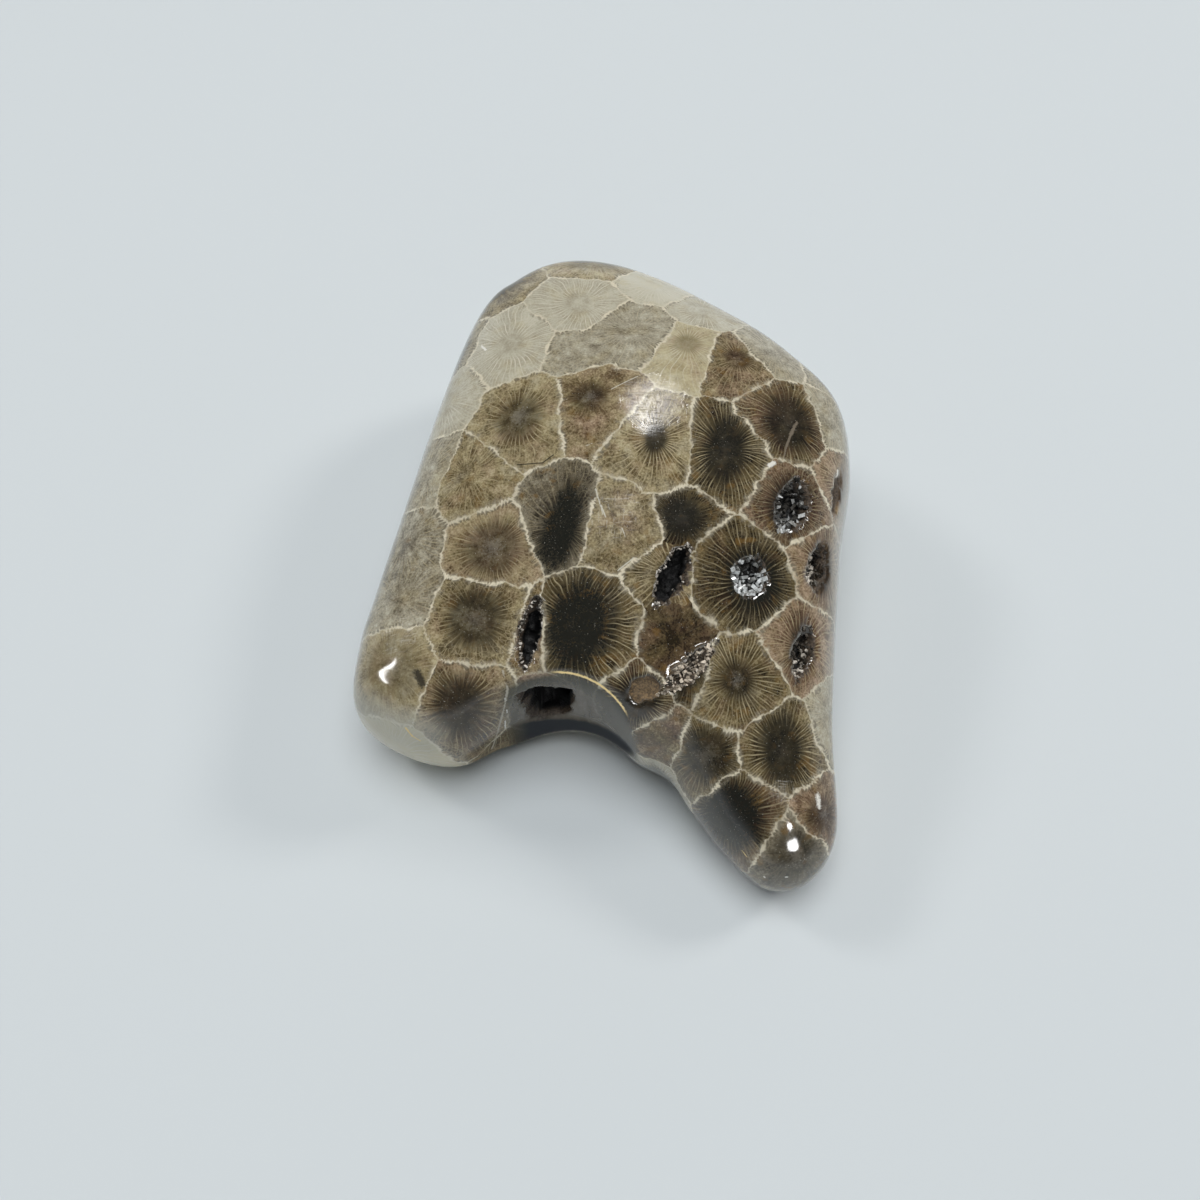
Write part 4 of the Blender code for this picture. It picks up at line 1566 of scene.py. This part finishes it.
@dataclass(frozen=True)
class CalciteCrystal:
    """The crystals: small glassy facets, from smoky brown to white."""

    gloss: float = 0.09
    ior: float = 1.6

    STOPS = (
        (0.0, (0.012, 0.012, 0.011)), (0.35, (0.075, 0.07, 0.062)), (0.6, (0.30, 0.30, 0.285)),
        (1.0, (0.80, 0.82, 0.82)),
    )
    WARM = (1.0, 0.80, 0.60)

    def build(self) -> bpy.types.Material:
        """Wire the material.

        Returns:
            The finished material.
        """
        sheet = NodeSheet(Slot.CRYSTAL.value)
        cloudy = sheet.noise(sheet.place(), 3.0, 3.0, 0.6)
        # the stored paleness: the crystals' own whiteness, raised on the lit side as painted light
        shade = (cloudy - 0.5) * 0.7 + sheet.stored("pale")
        colour = sheet.tinge(sheet.stored("warm"), sheet.colours(shade, self.STOPS), self.WARM,
                             "MULTIPLY")
        sheet.feed(sheet.surface["Base Color"], colour)
        sheet.feed(sheet.surface["Roughness"], cloudy.slide(0.3, 0.7, self.gloss, 0.4))
        sheet.feed(sheet.surface["IOR"], self.ior)
        return sheet.material


@dataclass
class Studio:
    """The pale floor, the soft lights and the camera that looks down on the stone."""

    camera_place: Place = (0.0, -0.065, 0.112583)
    camera_tilt: float = 30.0
    lens: float = 36.0
    sensor: float = 36.0
    floor_size: float = 1.6
    floor_colour: Colour = (0.655, 0.69, 0.705)
    floor_drop: float = 0.00002
    walls_to_ceiling: tuple[float, float, float, float] = (0.0, 0.55, 0.9, 0.04)

    def camera(self) -> None:
        """Set up the camera."""
        data = bpy.data.cameras.new("camera")
        data.lens = self.lens
        data.sensor_width = self.sensor
        data.clip_start = 0.005
        data.clip_end = 20.0
        camera = placed("camera", data)
        camera.location = self.camera_place
        camera.rotation_euler = (math.radians(self.camera_tilt), 0, 0)
        bpy.context.scene.camera = camera

    def floor(self) -> None:
        """Lay the floor."""
        sheet = NodeSheet("pale_floor")
        sheet.feed(sheet.surface["Base Color"], self.floor_colour)
        sheet.feed(sheet.surface["Roughness"], 0.9)
        shape = bmesh.new()
        bmesh.ops.create_grid(shape, x_segments=4, y_segments=4, size=self.floor_size / 2)
        floor = meshed("floor", shape)
        floor.data.materials.append(sheet.material)
        floor.location.z = -self.floor_drop

    def lamp(self, name: str, direction: Place, distance: float,
             size: tuple[float, float], power: float, colour: Colour = (1, 1, 1),
             mirrored: bool = False, roll: float = 0.0) -> None:
        """Hang an oval lamp that faces the stone.

        Args:
            name: The lamp's name.
            direction: Where it is, seen from the stone.
            distance: How far off it is, in metres.
            size: Its width and height, in metres.
            power: Its power, in watts.
            colour: The colour of its light.
            mirrored: Whether it is only there for the polish to mirror it.
            roll: How far it is turned about its own axis, in degrees.
        """
        data = bpy.data.lights.new(name, "AREA")
        data.shape = "ELLIPSE"
        data.size, data.size_y = size
        data.energy = power
        data.color = colour
        lamp = placed(name, data)
        place = Vector(direction).normalized() * distance
        lamp.location = place
        turn = place.to_track_quat("Z", "Y").to_matrix() @ Matrix.Rotation(math.radians(roll), 3, "Z")
        lamp.rotation_euler = turn.to_euler()
        lamp.visible_glossy = mirrored
        lamp.visible_diffuse = not mirrored

    def lights(self) -> None:
        """Light the room with three soft lamps, and hang the ones that the polish mirrors."""
        self.room()
        self.lamp("ceiling_lamp", (0.0, -0.05, 1.0), 1.0, (0.75, 0.75), 7.4, (0.95, 0.98, 1.0))
        self.lamp("upper_right_lamp", (0.72, 0.30, 0.63), 0.9, (0.2, 0.2), 1.8, (1.0, 0.97, 0.93))
        self.lamp("upper_left_lamp", (-0.66, 0.35, 0.70), 0.9, (0.2, 0.2), 1.4, (1.0, 0.98, 0.95))
        self.lamp("lobe_lamp", (-0.77, -0.136, 0.63), 1.0, (0.36, 0.05), 1.7, mirrored=True,
                  roll=168)
        self.lamp("crown_lamp", (0.171, 0.496, 0.852), 1.0, (0.42, 0.07), 3.4, mirrored=True,
                  roll=113)
        self.lamp("crown_glow", (0.17, 0.52, 0.835), 1.1, (0.4, 0.26), 0.8, mirrored=True,
                  roll=123)
        self.lamp("leg_lamp", (0.37, -0.637, 0.679), 1.0, (0.24, 0.1), 1.9, mirrored=True,
                  roll=155)
        bpy.context.scene.view_settings.view_transform = "Standard"

    def room(self) -> None:
        """Make a room with pale walls and a darker ceiling, which keeps the polish deep."""
        world = bpy.data.worlds.new("room")
        world.use_nodes = True
        nodes, links = world.node_tree.nodes, world.node_tree.links
        direction = nodes.new("ShaderNodeTexCoord")
        parts = nodes.new("ShaderNodeSeparateXYZ")
        links.new(direction.outputs["Generated"], parts.inputs[0])
        fade = nodes.new("ShaderNodeMapRange")
        fade.interpolation_type = "SMOOTHSTEP"
        links.new(parts.outputs["Z"], fade.inputs["Value"])
        for key, value in zip(("From Min", "From Max", "To Min", "To Max"), self.walls_to_ceiling):
            fade.inputs[key].default_value = value
        back = nodes["Background"]
        back.inputs["Color"].default_value = (0.88, 0.95, 1.0, 1)
        links.new(fade.outputs[0], back.inputs["Strength"])
        bpy.context.scene.world = world

    def build(self) -> None:
        """Set up the camera, the floor and the lights."""
        self.camera()
        self.floor()
        self.lights()


def dress(piece: bpy.types.Object, material: bpy.types.Material, node: str) -> None:
    """Bring a piece to its real size, give it its finish and let it stand for a solid.

    Args:
        piece: The piece, in millimetres.
        material: Its material.
        node: The solid that it stands for.
    """
    piece.data.transform(Matrix.Scale(MM, 4))
    piece.data.materials.append(material)
    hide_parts(node)
    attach(piece, BODY)
    LOG.info("dressed %s", piece.name)


def main() -> None:
    """Build and dress the pebble, its crystals and the studio."""
    logging.basicConfig(level=logging.INFO, format="%(name)s: %(message)s")
    Studio().build()
    form = PebbleForm()
    pebble = Pebble(form)
    stone = pebble.build()
    pebble.paint(stone, Colony(form))
    crystal = CalciteCrystal().build()
    for hollow in form.hollows:
        crust = CrystalCrust(form, hollow).build(stone)
        dress(crust, crystal, hollow.name + "_crystals")
    dress(stone, CoralStone().build(), "coral_pebble")


if __name__ == "__main__":
    main()
